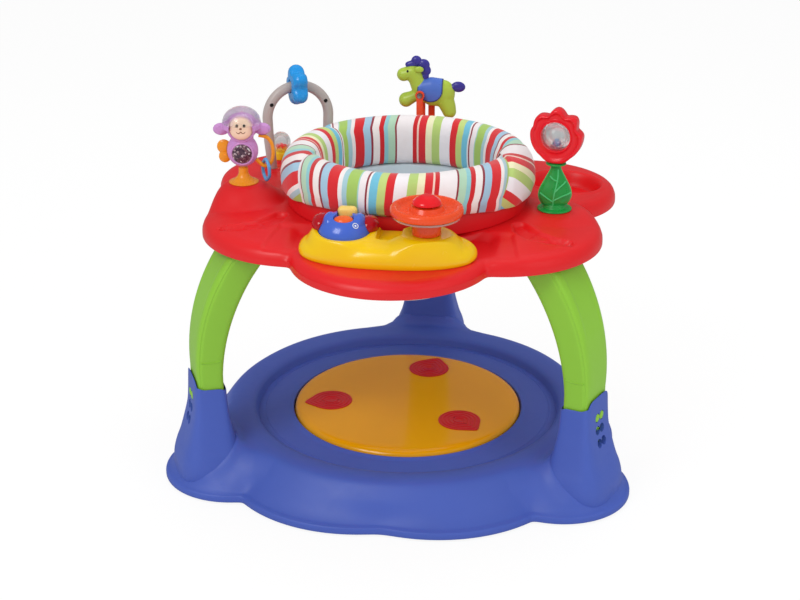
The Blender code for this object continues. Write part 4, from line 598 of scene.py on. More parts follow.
def softened(bm, offset, segments):
    bmesh.ops.bevel(bm, geom=bm.edges[:], offset=offset, segments=segments, affect="EDGES", profile=0.5,
                    material=-1)


for name, to_leg in TO_LEG.items():
    pockets, rib = bmesh.new(), bmesh.new()
    latch = block((0.0035, 0.0272, 0.02), (0.01715, 0.0, LATCH_HEIGHT))
    softened(latch, 0.0008, 2)
    for offset in (-NOSE_SPREAD, NOSE_SPREAD):
        tube(pockets, (0.01, offset, LATCH_HEIGHT), (0.04, offset, LATCH_HEIGHT), 0.0074)
        outward = Matrix.Translation((0.0, offset, LATCH_HEIGHT)) @ Matrix.Rotation(math.pi / 2, 4, "Y")
        united(latch, placed(turned(NOSE_LINE, 32), outward))
    for face_side in (-1, 1):
        line = [(leg_middle(0.228) + 0.0015 * k, face_side * 0.0393, 0.227 + 0.000016 * k * k)
                for k in range(-11, 12)]
        united(rib, swept(line, 0.0011, 3))
    bm = cut_away(formed(120, LEG_STEPS + 10, leg_point), pockets)
    fit(f"leg_moulding_{name}", placed(bm, to_leg), leg_lime, "upper", "leg_lime", f"leg_{name}")
    fit(f"leg_rib_{name}", placed(rib, to_leg), leg_lime, "upper", "leg_lime")
    fit(f"latch_button_{name}", placed(latch, to_leg), leg_lime, f"latch_{name}", "leg_lime",
        f"leg_button_{name}")

# Tray: one large moulding of red polypropylene with six lobes, a sunk front for the toy, raised seats for the
# other toys, a bowl, and two bent troughs. Satin, with a fine grain, and its edge rolls down into a skirt.
tray_red = opaque("moulded red polypropylene", "#e5141b", rough=0.38, grain=0.6, bump=0.16, mottle=0.04)
TRAY_LOBES = ((270, 0.215, 0.16), (90, 0.215, 0.16), (210, 0.184, 0.169), (330, 0.184, 0.169),
              (30, 0.2415, 0.139), (150, 0.2415, 0.139))
TRAY_FLAT = 0.205
TRAY_TOP, TRAY_FALL, TOY_SEAT, DISC_TOP, BOWL_FLOOR, BOLT_BOSS = 0.449, 0.009, 0.4375, 0.4505, 0.42, 0.4422
SEAT_HOLE = 0.16
MONKEY_AT = (-0.272, -0.04)
FLOWER_AT = (0.2475, -0.045)
BOWL_AT = (0.262, 0.118)
HORSE_AT = (-0.008, 0.26)
POPPER_AT = (-0.252, 0.178)
ARCH_AT = (-0.2115, 0.138)
ARCH_TURN = 25.0
ARCH_FEET = [(ARCH_AT[0] + sign * 0.0485 * math.cos(math.radians(ARCH_TURN)),
              ARCH_AT[1] + sign * 0.0485 * math.sin(math.radians(ARCH_TURN))) for sign in (-1, 1)]
DISCS = ((*HORSE_AT, 0.031), (*POPPER_AT, 0.021), (*ARCH_FEET[0], 0.0135), (*ARCH_FEET[1], 0.0135))
SCOOP = ((-0.274, -0.175, 0.0085), (-0.248, -0.173, 0.0145), (-0.22, -0.16, 0.019), (-0.2035, -0.139, 0.019),
         (-0.195, -0.118, 0.013))
SCOOP_DEPTH, BOWL_LIP = 0.0072, 0.0016
CREASE, CREASE_DEPTH = (0.186, -0.15, 0.156), 0.0032
MOUNDS = ((MONKEY_AT, 0.074, 0.027, 0.476), (FLOWER_AT, 0.078, 0.036, 0.453))
BOLTS = ((-0.231, -0.158), (0.231, -0.158), (0.0, 0.2789))


def off_line(x, y, start, end):
    """How far the point lies from a straight line between two places, and how far along it."""
    along = Vector(end) - Vector(start)
    share = min(1.0, max(0.0, (Vector((x, y)) - Vector(start)).dot(along) / along.length_squared))
    return (Vector((x, y)) - Vector(start) - along * share).length, share


def tray_height(x, y, out):
    """The top's height. out is 0 at the seat ring and 1 at the tray's edge."""
    z = TRAY_TOP - TRAY_FALL * max(0.0, out) ** 2
    radius = math.hypot(x, y)
    lean = CREASE[0] + CREASE[2] * (CREASE[1] - y) - abs(x)
    z -= (CREASE_DEPTH * fade(lean, -0.001, 0.004) * fade(y, CREASE[1], CREASE[1] - 0.02)
          * fade(out, 0.97, 0.85))
    sunk = fade(abs(x), 0.17, 0.15) * fade(-y, 0.15, 0.178) * fade(radius, TRAY_FLAT, TRAY_FLAT + 0.006)
    z += (TOY_SEAT - z) * sunk
    for (cx, cy), low, high, top in MOUNDS:
        away = math.hypot(x - cx, y - cy)
        if away < low:
            z = max(z, z + (top - z) * fade(away, low, high))
    for cx, cy, size in DISCS:
        z = max(z, z + (DISC_TOP - z) * fade(math.hypot(x - cx, y - cy), size + 0.002, size))
    away = math.hypot(x - BOWL_AT[0], y - BOWL_AT[1])
    z -= (z - BOWL_FLOOR) * fade(away, 0.062, 0.05)
    z += BOWL_LIP * fade(away, 0.069, 0.065) * fade(away, 0.06, 0.064)
    inside = 0.0
    for start, end in zip(SCOOP, SCOOP[1:]):
        away, share = off_line(-abs(x), y, start[:2], end[:2])
        wide = start[2] + (end[2] - start[2]) * share
        inside = max(inside, fade(away, wide + 0.001, wide * 0.6))
    z -= SCOOP_DEPTH * inside
    near = min(math.hypot(x - bx, y - by) for bx, by in BOLTS)
    return z + max(0.0, BOLT_BOSS - z) * fade(near, 0.019, 0.011)


TRAY_RADIAL = [(SEAT_HOLE + (TRAY_FLAT - SEAT_HOLE) * k / 8, 0.0) for k in range(8)]
TRAY_RADIAL += [(TRAY_FLAT + 0.0012 * k, 0.0) for k in range(5)]
TRAY_RADIAL += [(TRAY_FLAT + 0.0048 - 0.0268 * k / 84, k / 84) for k in range(1, 85)]
EDGE_ROWS = ((-0.017, 0.0008), (-0.012, 0.002), (-0.008, 0.0036), (-0.0048, 0.0062), (-0.0026, 0.0095),
             (-0.0012, 0.013))
SKIRT_ROWS = ((-0.0004, 0.425), (0.0, 0.42), (0.0, 0.4152), (-0.0004, 0.4142), (-0.0012, 0.414),
              (-0.003, 0.414), (-0.0038, 0.4148), (-0.0042, 0.425))
UNDER_RADIAL = TRAY_RADIAL[::-4]
TRAY_ROWS = len(TRAY_RADIAL) + len(EDGE_ROWS) + len(SKIRT_ROWS) + len(UNDER_RADIAL)


def tray_point(u, v):
    row = round(v * TRAY_ROWS) % TRAY_ROWS
    degrees = 360 * u
    edge = reach(degrees, TRAY_LOBES)
    if row < len(TRAY_RADIAL):
        start, share = TRAY_RADIAL[row]
        x, y = around(start + share * (edge - TRAY_FLAT), degrees)
        return x, y, tray_height(x, y, (math.hypot(x, y) - TRAY_FLAT) / (edge - TRAY_FLAT))
    row -= len(TRAY_RADIAL)
    if row < len(EDGE_ROWS):
        inset, drop = EDGE_ROWS[row]
        x, y = around(edge + inset, degrees)
        return x, y, tray_height(x, y, 1.0 + inset / (edge - TRAY_FLAT)) - drop
    row -= len(EDGE_ROWS)
    if row < len(SKIRT_ROWS):
        inset, z = SKIRT_ROWS[row]
        return *around(edge + inset, degrees), z
    start, share = UNDER_RADIAL[row - len(SKIRT_ROWS)]
    x, y = around(start + share * (edge - TRAY_FLAT), degrees)
    return x, y, tray_height(x, y, (math.hypot(x, y) - TRAY_FLAT) / (edge - TRAY_FLAT)) - 0.003


fit("tray_moulding", formed(660, TRAY_ROWS, tray_point), tray_red, "upper", "tray_red", "tray")
screw_steel = opaque("zinc plated steel", "#9c9ca0", rough=0.32, grain=0.3, bump=0.08, metal=True)
refinish(screw_steel, "leg_bolt_left", "leg_bolt_right", "leg_bolt_rear")

# Seat ring: a satin dark red polypropylene ring that turns in the tray's hole and carries the cover.
# A retainer of the same plastic holds it from below.
ring_red = opaque("moulded dark red polypropylene", "#de101a", rough=0.4, grain=0.5, bump=0.12)
RING_LINE = eased(((0.1995, 0.482), (0.2025, 0.4496), (0.1592, 0.4496), (0.1592, 0.437), (0.1562, 0.437),
                   (0.1562, 0.4526), (0.1995, 0.4526), (0.1965, 0.482)), 0.0012)
fit("seat_ring_moulding", turned(RING_LINE, 160), ring_red, "seat", "seat_red", "seat_ring")
refinish(ring_red, "seat_retainer")

# Seat cover: a padded ring of striped cotton over the seat ring's wall, matt and a little rumpled, sewn from a
# front, a back and two side panels. Blender's Cloth blows it up with its cuff and seams held, and each face
# corner carries its place in the pattern.
STRIPES = (
    # colour and width in mm, from the left end of the front panel's wide red stripe
    ("#dd1420", 19.0), ("#f4ecea", 7.0), ("#a9cfd8", 8.0), ("#a8cb62", 18.0), ("#a9d6cc", 3.0), ("#f3ebed", 10.0),
    ("#93283a", 3.5), ("#f4f0ee", 2.5), ("#72c3de", 13.0), ("#c6da80", 13.0), ("#dd1c26", 13.0), ("#f3eef2", 19.5),
    ("#b9d477", 15.5), ("#f1eec4", 11.0), ("#dd1f2b", 13.0), ("#f4d3c4", 2.5), ("#d3141f", 7.5), ("#f4edee", 29.0),
    ("#93283a", 3.5), ("#b4d8bb", 12.0), ("#8fcbd2", 7.5), ("#d3141f", 9.0), ("#f4ebe8", 12.5), ("#93283a", 4.0),
    ("#a4c8df", 14.5))
REPEAT = sum(width for _, width in STRIPES) / 1000


def woven(name, weave=0.9, rough=0.85):
    """Plain woven cotton without its colour. weave is the thread spacing in mm."""
    material, tree, shader, place = fresh(name)
    shader.inputs["Roughness"].default_value = rough
    shader.inputs["Sheen Weight"].default_value = 0.25
    shader.inputs["Sheen Roughness"].default_value = 0.5
    shader.inputs["IOR"].default_value = 1.53
    threads = add(tree, "TexVoronoi", {"distance": "CHEBYCHEV"}, Vector=place, Scale=1000 / weave,
                  Randomness=0.35)
    rumple = add(tree, "TexNoise", None, Vector=place, Scale=1000 / 23.8, Detail=3.0, Roughness=0.55)
    low = add(tree, "Bump", None, Strength=0.35, Distance=0.004, Height=rumple.outputs["Fac"])
    fine = add(tree, "Bump", None, Strength=0.3, Distance=0.0004, Height=threads.outputs["Distance"],
               Normal=low.outputs["Normal"])
    tree.links.new(fine.outputs["Normal"], shader.inputs["Normal"])
    return material


cover_cotton = woven("striped woven cotton")
tree = cover_cotton.node_tree
across = add(tree, "SeparateXYZ", None, Vector=add(tree, "UVMap", {"uv_map": "stripe"}).outputs[0])
turns = add(tree, "Math", {"operation": "DIVIDE"}, i0=across.outputs[0], i1=REPEAT)
share = add(tree, "Math", {"operation": "FRACT"}, i0=turns.outputs[0])
ramp = add(tree, "ValToRGB", None, Fac=share.outputs[0])
ramp.color_ramp.interpolation = "CONSTANT"
start = 0.0
for k, (colour, width) in enumerate(STRIPES):
    stop = ramp.color_ramp.elements[0] if k == 0 else ramp.color_ramp.elements.new(start)
    stop.position = start
    stop.color = linear(colour)
    start += width / 1000 / REPEAT
ramp.color_ramp.elements.remove(ramp.color_ramp.elements[-1])
fade_noise = add(tree, "TexNoise", None, Scale=1000 / 40, Detail=4.0,
                 Vector=add(tree, "TexCoord").outputs["Object"])
worn = add(tree, "MapRange", None, Value=fade_noise.outputs["Fac"], To_Min=0.9, To_Max=1.04)
cloth_colour = add(tree, "VectorMath", {"operation": "SCALE"}, i0=ramp.outputs["Color"], i3=worn.outputs[0])
tree.links.new(cloth_colour.outputs[0], tree.nodes["Principled BSDF"].inputs["Base Color"])

COVER_LINE = curved((
    # from the hem inside the seat, up and over the rim, to the hem outside
    (0.158, 0.4562), (0.151, 0.464), (0.1484, 0.48), (0.1484, 0.502), (0.152, 0.52), (0.1612, 0.533),
    (0.176, 0.538), (0.1925, 0.5345), (0.205, 0.5235), (0.2118, 0.508), (0.213, 0.495), (0.2108, 0.485),
    (0.2085, 0.48)), 3)
CUFF_LINE = ((0.206, 0.479), (0.2036, 0.4792), (0.201, 0.4826), (0.1957, 0.4826), (0.1952, 0.47),
             (0.1952, 0.4562), (0.18, 0.456), (0.166, 0.456))
COVER_ROWS = [*COVER_LINE, *CUFF_LINE]
RIM_START, RIM_END, HELD_ROWS = 13, 29, 3
PANELS = (("front", 104), ("right", 36), ("back", 76), ("left", 44))
COVER_COLUMNS = sum(count for _, count in PANELS)
SEAM_COLUMNS = [sum(count for _, count in PANELS[:k]) for k in range(len(PANELS))]
PADDING_MIDDLE, SEAM_PULL = (0.181, 0.5), 0.085
PUFF_PRESSURE, PUFF_CAP = 2.2, 0.0045
COVER_TOP = 0.538


def cover_seams(rise):
    """Where the panels begin and end, in degrees. rise is 0 inside the seat and 1 on the outer wall."""
    bend = rise ** 0.46
    return 187 + 35 * bend, 368.5 - 46.5 * bend, 371.5 + 13.5 * rise, 504 + 6 * rise, 547 + 35 * bend


def cover_spot(u, v):
    """Panel, degrees, radius, height and rise of a place on the cover's grid."""
    row = round(v * len(COVER_ROWS)) % len(COVER_ROWS)
    radius, z = COVER_ROWS[row]
    rise = min(1.0, max(0.0, (row - RIM_START) / (RIM_END - RIM_START)))
    if row >= len(COVER_LINE):
        rise = 1 - (row - len(COVER_LINE) + 1) / (len(CUFF_LINE) + 1)
    column, seams = u * COVER_COLUMNS, cover_seams(rise)
    for k, (panel, count) in enumerate(PANELS):
        if column <= count + 0.001 or k == 3:
            degrees = seams[k] + (seams[k + 1] - seams[k]) * column / count
            return panel, degrees, radius, z, rise, column / count
        column -= count


def cover_point(u, v):
    panel, degrees, radius, z, rise, along = cover_spot(u, v)
    seam = fade(min(along, 1 - along) * (1 if panel in ("front", "back") else 0.4), 0.035, 0.0)
    upper = fade(z, 0.47, 0.49)
    pucker = 0.0012 * math.sin(math.radians(degrees * 24)) * fade(z, 0.5, 0.484) * (radius > 0.2) * upper
    from_front = abs((degrees - 90) % 360 - 180)
    sway = 0.008 * fade(from_front, 55, 10) - 0.009 * fade(abs(from_front - 85), 50, 15)
    z += sway * fade(z, 0.52, 0.484) * (radius > 0.2025)
    plump = fade(from_front, 105, 35)
    radius -= 0.008 * plump * fade(radius, 0.176, 0.155) * fade(z, 0.465, 0.5)
    z += 0.007 * plump * fade(z, 0.5, 0.536)
    pull = SEAM_PULL * seam * upper
    radius += (PADDING_MIDDLE[0] - radius) * pull + pucker
    return *around(radius, degrees), z + (PADDING_MIDDLE[1] - z) * pull


def stripe_place(panel, degrees, radius, z, rise):
    """Distance across the pattern, in metres."""
    drop = max(0.0, COVER_TOP - z) if radius > 0.18 else 0.0
    if panel == "front":
        inner = 1.095 * (around(0.156, degrees - 7.2)[0] + 0.1133)
        return inner + (0.2165 * math.radians(degrees - 241.1) - inner) * rise
    turned_to = degrees - 360
    if panel == "back":
        return -0.1278 + (0.1535 + 0.063 * rise) * math.radians(turned_to - 80)
    if panel == "right":
        return 0.215 + 0.0968 * math.radians(turned_to - 12) - 0.894 * drop
    near = max(0.0, turned_to - 187)
    return 0.062 + 0.197 * math.radians(min(turned_to, 187) - 144) + 0.0968 * math.radians(near) \
        + 0.894 * drop * fade(turned_to, 172, 200)


def puffed(bm, held, pressure, cap):
    """Blows the mesh up with Blender's Cloth. The held vertices stay, and no other moves farther than cap."""
    shape = bpy.data.meshes.new("puff")
    bm.to_mesh(shape)
    body = bpy.data.objects.new("puff", shape)
    bpy.context.scene.collection.objects.link(body)
    body.vertex_groups.new(name="held").add(held, 1.0, "REPLACE")
    cloth = body.modifiers.new("cloth", "CLOTH")
    cloth.settings.vertex_group_mass = "held"
    cloth.settings.use_pressure = True
    cloth.settings.uniform_pressure_force = pressure
    cloth.settings.effector_weights.gravity = 0.0
    cloth.settings.quality = 6
    cloth.settings.mass = 0.3
    cloth.settings.bending_stiffness = 0.4
    cloth.point_cache.frame_start = 1
    cloth.point_cache.frame_end = 20
    for frame_number in range(1, 21):
        bpy.context.scene.frame_set(frame_number)
    blown = body.evaluated_get(bpy.context.evaluated_depsgraph_get()).data
    bm.verts.ensure_lookup_table()
    for vert, moved in zip(bm.verts, blown.vertices):
        move = moved.co - vert.co
        vert.co += move * min(1.0, cap / max(move.length, 0.000001))
    bpy.data.objects.remove(body)
    bpy.context.scene.frame_set(1)


bm = bmesh.new()
pattern = bm.loops.layers.uv.new("stripe")
bmesh.ops.create_grid(bm, x_segments=COVER_COLUMNS, y_segments=len(COVER_ROWS), size=0.5)
for face in bm.faces:
    middle = face.calc_center_median()
    panel = cover_spot(middle.x + 0.5, 0.0)[0]
    for loop in face.loops:
        u, v = loop.vert.co.x + 0.5, loop.vert.co.y + 0.5
        nearer = cover_spot(u + (middle.x + 0.5 - u) * 0.002, v)
        loop[pattern].uv = (stripe_place(panel, *nearer[1:5]), nearer[3])
held_at = []
for vert in bm.verts:
    u, v = vert.co.x + 0.5, vert.co.y + 0.5
    row = round(v * len(COVER_ROWS)) % len(COVER_ROWS)
    column = round(u * COVER_COLUMNS) % COVER_COLUMNS
    vert.co = cover_point(u, v)
    if row < HELD_ROWS or row >= len(COVER_LINE) - HELD_ROWS or column in SEAM_COLUMNS:
        held_at.append(vert.co.copy())
bmesh.ops.remove_doubles(bm, verts=bm.verts, dist=0.00001)
bmesh.ops.recalc_face_normals(bm, faces=bm.faces)
bm.verts.index_update()
keys = {tuple(round(value, 5) for value in point) for point in held_at}
held = [vert.index for vert in bm.verts if tuple(round(value, 5) for value in vert.co) in keys]
puffed(bm, held, PUFF_PRESSURE, PUFF_CAP)
cover = fit("cover", bm, cover_cotton, "seat", "striped_fabric", "seat_cover", sub=1)

# Sling: the seat's hanging bucket of pale blue woven lining, matt, with two leg openings.
# Its lip lies between the ring and the cover.
lining = woven("pale blue woven lining", weave=1.1)
tree = lining.node_tree
drift = add(tree, "TexNoise", None, Vector=add(tree, "TexCoord").outputs["Object"], Scale=1000 / 55.6,
            Detail=4.0)
tone = add(tree, "MixRGB", None, Fac=drift.outputs["Fac"], Color1=linear("#b9cbd6"), Color2=linear("#d5dfe4"))
tree.links.new(tone.outputs[0], tree.nodes["Principled BSDF"].inputs["Base Color"])
SLING_LINE = curved(((0.1547, 0.4529), (0.152, 0.444), (0.148, 0.43), (0.139, 0.385), (0.12, 0.335),
                     (0.092, 0.301), (0.05, 0.279), (0.0, 0.2722)), 5)
SLING_SKIN = 0.0022
LEG_HOLES = [(Vector((edge * 0.03, -0.012, 0.345)), Vector((edge * 0.788, 0.0, -0.616))) for edge in (-1, 1)]
LEG_HOLE = 0.047


def sling_profile():
    outer = [(0.1915, 0.453), (0.17, 0.453), *SLING_LINE]
    inner = [(max(0.0, radius - SLING_SKIN * 0.9) if radius else 0.0, z + SLING_SKIN * 0.75)
             for radius, z in SLING_LINE]
    return [*outer, *inner[::-1], (0.17, 0.453 + SLING_SKIN), (0.1915, 0.453 + SLING_SKIN)]


openings = bmesh.new()
for centre, lean in LEG_HOLES:
    tube(openings, centre, centre + lean * 0.14, LEG_HOLE, 48)
bm = cut_away(turned(sling_profile(), 144), openings)
sling = fit("sling", bm, lining, "seat", "lining_fabric", "seat_sling")

# Front toy housing: a glossy yellow ABS shell that flows up round the dome and into the wheel's pedestal.
# It is one moulding with a pocket for the dome and a hole for the shaft.
TOY_AT = (-0.002, -0.24)
TOY_BOTTOM, TOY_EDGE, TOY_TOP = 0.4378, 0.4435, 0.4735
PEDESTAL_TOP, COLLAR_TOP, PIT_FLOOR = 0.4817, 0.4748, 0.4655
DOME_AT = (-0.067, -0.25)
WHEEL_AT = (0.061, -0.265)
DOME_RADIUS = 0.0427
TOY_UNDER = ((0.0, 0.0), (0.5, 0.0), (0.985, 0.0), (0.998, 0.002))
TOY_STEPS = 140


def toy_height(x, y, share):
    """The top's height. share is 0 in the middle and 1 at the edge."""
    z = TOY_EDGE + (TOY_TOP - TOY_EDGE) * math.sqrt(max(0.0, 1 - share ** 5))
    firm = fade(share, 1.0, 0.91)
    hill = math.hypot(x - WHEEL_AT[0], y - WHEEL_AT[1])
    forward = max(0.0, WHEEL_AT[1] - y) / max(hill, 0.001)
    z += max(0.0, PEDESTAL_TOP - z) * fade(hill, 0.058 + 0.012 * forward, 0.038 - 0.008 * forward) * firm
    dx, dy = x - DOME_AT[0], y - DOME_AT[1]
    away = math.hypot(dx, dy)
    ear = 0.005 * (abs(dx) / max(away, 0.001)) ** 5 * fade(dy, 0.03, 0.005)
    z += max(0.0, COLLAR_TOP + ear - z) * fade(away, 0.062, 0.0465) * firm
    pit = fade(x, -0.0165, -0.0125) * fade(x, 0.0235, 0.0195) * fade(y, -0.275, -0.27)
    return z - max(0.0, z - PIT_FLOOR) * pit


def toy_point(u, v):
    step = round(v * (len(TOY_UNDER) + TOY_STEPS))
    under = step < len(TOY_UNDER)
    share = TOY_UNDER[step][0] if under else math.cos(math.pi / 2 * (step - len(TOY_UNDER)) / TOY_STEPS)
    c, s = around(1.0, 360 * u)
    x = TOY_AT[0] + share * 0.139 * math.copysign(abs(c) ** 0.85, c)
    y = TOY_AT[1] + share * (0.0295 if s > 0 else 0.073) * math.copysign(abs(s) ** 0.85, s)
    return x, y, TOY_BOTTOM + TOY_UNDER[step][1] if under else toy_height(x, y, share)


def oval(bm, radii, centre, steps=32):
    made = bmesh.ops.create_uvsphere(bm, u_segments=steps, v_segments=steps // 2, radius=1.0)["verts"]
    bmesh.ops.scale(bm, vec=radii, verts=made)
    bmesh.ops.translate(bm, vec=centre, verts=made)
    return bm


toy_yellow = opaque("moulded gloss yellow ABS", "#f6c900", rough=0.24, grain=1.5, bump=0.03, ior=1.54,
                    coat=0.2)
bm = formed(260, len(TOY_UNDER) + TOY_STEPS, toy_point)
dome_pocket = turned(((0.0, 0.52), (0.0432, 0.52), (0.0432, 0.4711), (0.0, 0.4711)), 96, DOME_AT)
shaft_hole = turned(((0.0, 0.52), (0.0084, 0.52), (0.0084, 0.46), (0.0, 0.46)), 48, WHEEL_AT)
fit("toy_housing_moulding", cut_away(bm, dome_pocket, shaft_hole), toy_yellow, "upper", "toy_yellow",
    "toy_housing")
refinish(dish_black, "toy_base_plate", "battery_box")

# Dome: a glossy blue ABS light with raised arms round its two buttons, two clear red polycarbonate lenses at
# its sides, a small ring printed on its front, and a painted highlight: a white dot inside that ring.
dome_blue = opaque("moulded gloss blue ABS", "#4468cf", rough=0.22, grain=1.5, bump=0.04, ior=1.54, coat=0.3)
YELLOW_AT = (-0.064, -0.241)
TO_ORANGE = standing((-0.0665, -0.2645)) @ Matrix.Diagonal((1.0, 0.8, 1.0, 1.0))


def arc_profile(radius, height, base, steps=14):
    """Quarter ellipse from the top of the axis down to the rim."""
    return [(radius * math.sin(math.pi / 2 * k / steps), base + height * math.cos(math.pi / 2 * k / steps))
            for k in range(steps + 1)]


bm = turned([*arc_profile(0.0424, 0.0345, 0.4716), (0.0, 0.4716)], 96, DOME_AT)
for edge in (-1, 1):
    oval(bm, (0.0105, 0.02, 0.0125), (DOME_AT[0] + edge * 0.0225, DOME_AT[1] - 0.003, 0.4925))
bm = melted(bm, 0.001, 22)
button_hole = tube(bmesh.new(), (0.0, 0.0, 0.48), (0.0, 0.0, 0.53), 0.016, 64)
bm = cut_away(bm, block((0.12, 0.12, 0.05), (*DOME_AT, 0.4465)), placed(button_hole, TO_ORANGE),
              block((0.0306, 0.0166, 0.05), (*YELLOW_AT, 0.5055)),
              block((0.024, 0.016, 0.03), (-0.0665, -0.256, 0.514)))
outside = Vector((DOME_AT[0] + 0.04, DOME_AT[1] - 0.05, 0.51))
mark, away = BVHTree.FromBMesh(bm).ray_cast(outside, Vector((*DOME_AT, 0.476)) - outside)[:2]
fit("dome_moulding", bm, dome_blue, "upper", "dome_blue", "dome_shell")


def clear(name, colour, rough=0.04, ior=1.49, tint=1.0, alpha=1.0):
    """Clear or tinted transparent plastic, with fine moulding waves."""
    material, tree, shader, place = fresh(name)
    haze = add(tree, "TexNoise", None, Vector=place, Scale=1000 / 25, Detail=2.0)
    tone = add(tree, "MixRGB", None, Fac=haze.outputs["Fac"], Color1=linear(colour),
               Color2=(*(c * 0.94 for c in linear(colour)[:3]), 1.0))
    tree.links.new(tone.outputs[0], shader.inputs["Base Color"])
    waves = add(tree, "TexNoise", None, Vector=place, Scale=1000 / 11.1, Detail=1.0)
    dent = add(tree, "Bump", None, Strength=0.05, Distance=0.0005, Height=waves.outputs["Fac"])
    tree.links.new(dent.outputs[0], shader.inputs["Normal"])
    shader.inputs["Transmission Weight"].default_value = tint
    shader.inputs["Alpha"].default_value = alpha
    shader.inputs["Roughness"].default_value = rough
    shader.inputs["IOR"].default_value = ior
    return material


lens_red = clear("clear red polycarbonate", "#d20d22", rough=0.08, ior=1.585, tint=0.35)
for name, edge in (("left", -1), ("right", 1)):
    centre = (DOME_AT[0] + edge * (DOME_RADIUS - 0.006), DOME_AT[1] + 0.006, 0.4842)
    bm = oval(bmesh.new(), (0.016, 0.0215, 0.015), centre, 48)
    inside = turned([*arc_profile(DOME_RADIUS + 0.0003, 0.0353, 0.4715), (DOME_RADIUS + 0.0003, 0.44),
                     (0.0, 0.44)], 96, DOME_AT)
    bm = cut_away(bm, inside, block((0.12, 0.12, 0.04), (*DOME_AT, 0.4568)))
    fit(f"lens_cover_{name}", bm, lens_red, "upper", "clear_red", f"lens_{name}")

button_orange = opaque("moulded orange ABS", "#f2601f", rough=0.25, grain=1.2, bump=0.04, ior=1.54, coat=0.2)
ORANGE_LINE = eased(((0.0, 0.5037), (0.01, 0.503), (0.0155, 0.4993), (0.0155, 0.484), (0.0, 0.484)),
                    0.003, 4, ring=False)
fit("orange_button", placed(turned(ORANGE_LINE, 64), TO_ORANGE), button_orange, "orange_button", "orange",
    "dome_button_orange")
button_cream = opaque("moulded pale yellow ABS", "#f4cf6e", rough=0.28, grain=1.2, bump=0.04, ior=1.54)
bm = block((0.03, 0.016, 0.0236), (*YELLOW_AT, 0.5005))
softened(bm, 0.0068, 6)
fit("yellow_button", bm, button_cream, "yellow_button", "pale_yellow", "dome_button_yellow")
white_print_and_painted_highlight = opaque("white pad printing ink and painted highlight", "#f2f4f8", rough=0.45, grain=0.4, bump=0.05)
bm = swept([(*around(0.0042, 360 * k / 32), 0.0) for k in range(32)], 0.0006, 3, cyclic=True)
# The ring is white print; the flat white dot in its middle is a painted highlight.
oval(bm, (0.0017, 0.0017, 0.0006), (0.0, 0.0, 0.0), 16)
placed(bm, Matrix.Translation(mark) @ away.to_track_quat("Z", "Y").to_matrix().to_4x4())
fit("dome_ring_mark_and_painted_highlight", bm, white_print_and_painted_highlight, "upper", "dome_blue")

# Steering wheel: an orange ABS disc with a grooved channel and a raised grip, semi gloss, on its short column.
# Below it runs a clear pink rim, and a glossy red horn button stands in its hub.
wheel_orange = opaque("moulded bright orange ABS", "#f14e1c", rough=0.27, grain=1.2, bump=0.05, ior=1.54,
                      coat=0.2)
WHEEL_LINE = [(0.0064, 0.5052), (0.0064, 0.5274), (0.024, 0.5274), (0.0262, 0.5235), (0.0275, 0.521)]
WHEEL_LINE += [(0.0285 + 0.0011 * k, 0.5208) for k in range(13)]
WHEEL_LINE += [(0.043, 0.521), (0.045, 0.524), (0.047, 0.5264), (0.0495, 0.5274), (0.052, 0.5271),
               (0.0542, 0.5258), (0.0556, 0.5236), (0.056, 0.5205), (0.0557, 0.517), (0.0545, 0.5148),
               (0.053, 0.5142), (0.0091, 0.5142), (0.0091, 0.5052)]


def wheel_point(u, v):
    radius, z = WHEEL_LINE[round(v * len(WHEEL_LINE)) % len(WHEEL_LINE)]
    groove = 0.5 + 0.5 * math.cos(2 * math.pi * u * 30)
    ribs = fade(radius, 0.0285, 0.0305) * fade(radius, 0.042, 0.0395) * (z > 0.518)
    x, y = around(radius, 360 * u)
    return WHEEL_AT[0] + x, WHEEL_AT[1] + y, z - 0.0016 * ribs * groove


fit("wheel_moulding", formed(360, len(WHEEL_LINE), wheel_point), wheel_orange, "wheel", "orange",
    "steering_wheel")
COLUMN_LINE = eased(((0.0, 0.5034), (0.0095, 0.5034), (0.0095, 0.5094), (0.0212, 0.5094), (0.0224, 0.4823),
                     (0.008, 0.4823), (0.008, 0.4788), (0.011, 0.4787), (0.008, 0.4737), (0.0, 0.4737)),
                    0.0008, 2, ring=False)
fit("wheel_column", turned(COLUMN_LINE, 64, WHEEL_AT), wheel_orange, "wheel", "orange", "steering_column")
rim_pink = clear("clear pink polycarbonate", "#f7c9c0", rough=0.1, ior=1.585, tint=0.55)
RIM_LINE = eased(((0.0532, 0.5136), (0.0518, 0.5098), (0.0094, 0.5098), (0.0094, 0.5136)), 0.001, 3)
fit("wheel_rim", turned(RIM_LINE, 128, WHEEL_AT), rim_pink, "wheel", "clear_pink", "wheel_lower_rim")
horn_red = opaque("moulded gloss red ABS", "#ee101e", rough=0.22, grain=1.2, bump=0.04, ior=1.54, coat=0.3)
HORN_LINE = eased(((0.0, 0.5443), (0.0075, 0.544), (0.013, 0.5417), (0.018, 0.538), (0.0214, 0.5347),
                   (0.0225, 0.5306), (0.0205, 0.5303)), 0.0022, 4, ring=False) + [
                       (0.0061, 0.5303), (0.0061, 0.5106), (0.0, 0.5106)]
fit("horn_cap", turned(HORN_LINE, 96, WHEEL_AT), horn_red, "horn", "inlay_red", "horn_button")

# Flower: a leafy green ABS stem with raised veins in a lighter green, and a glossy red bloom that turns on its
# neck round a clear rattle ball with a blue bead in it.
TO_FLOWER = standing(FLOWER_AT, 8)
leaf_green = opaque("moulded green ABS", "#1f9c42", rough=0.3, grain=1.0, bump=0.06, ior=1.54)
vein_green = opaque("moulded light green ABS", "#49c474", rough=0.32, grain=1.0, bump=0.06, ior=1.54)
STEM_LINE = curved(((0.0165, 0.46), (0.0215, 0.464), (0.0255, 0.472), (0.0266, 0.4795), (0.024, 0.49),
                    (0.0165, 0.505), (0.0092, 0.519), (0.0066, 0.527)), 5)


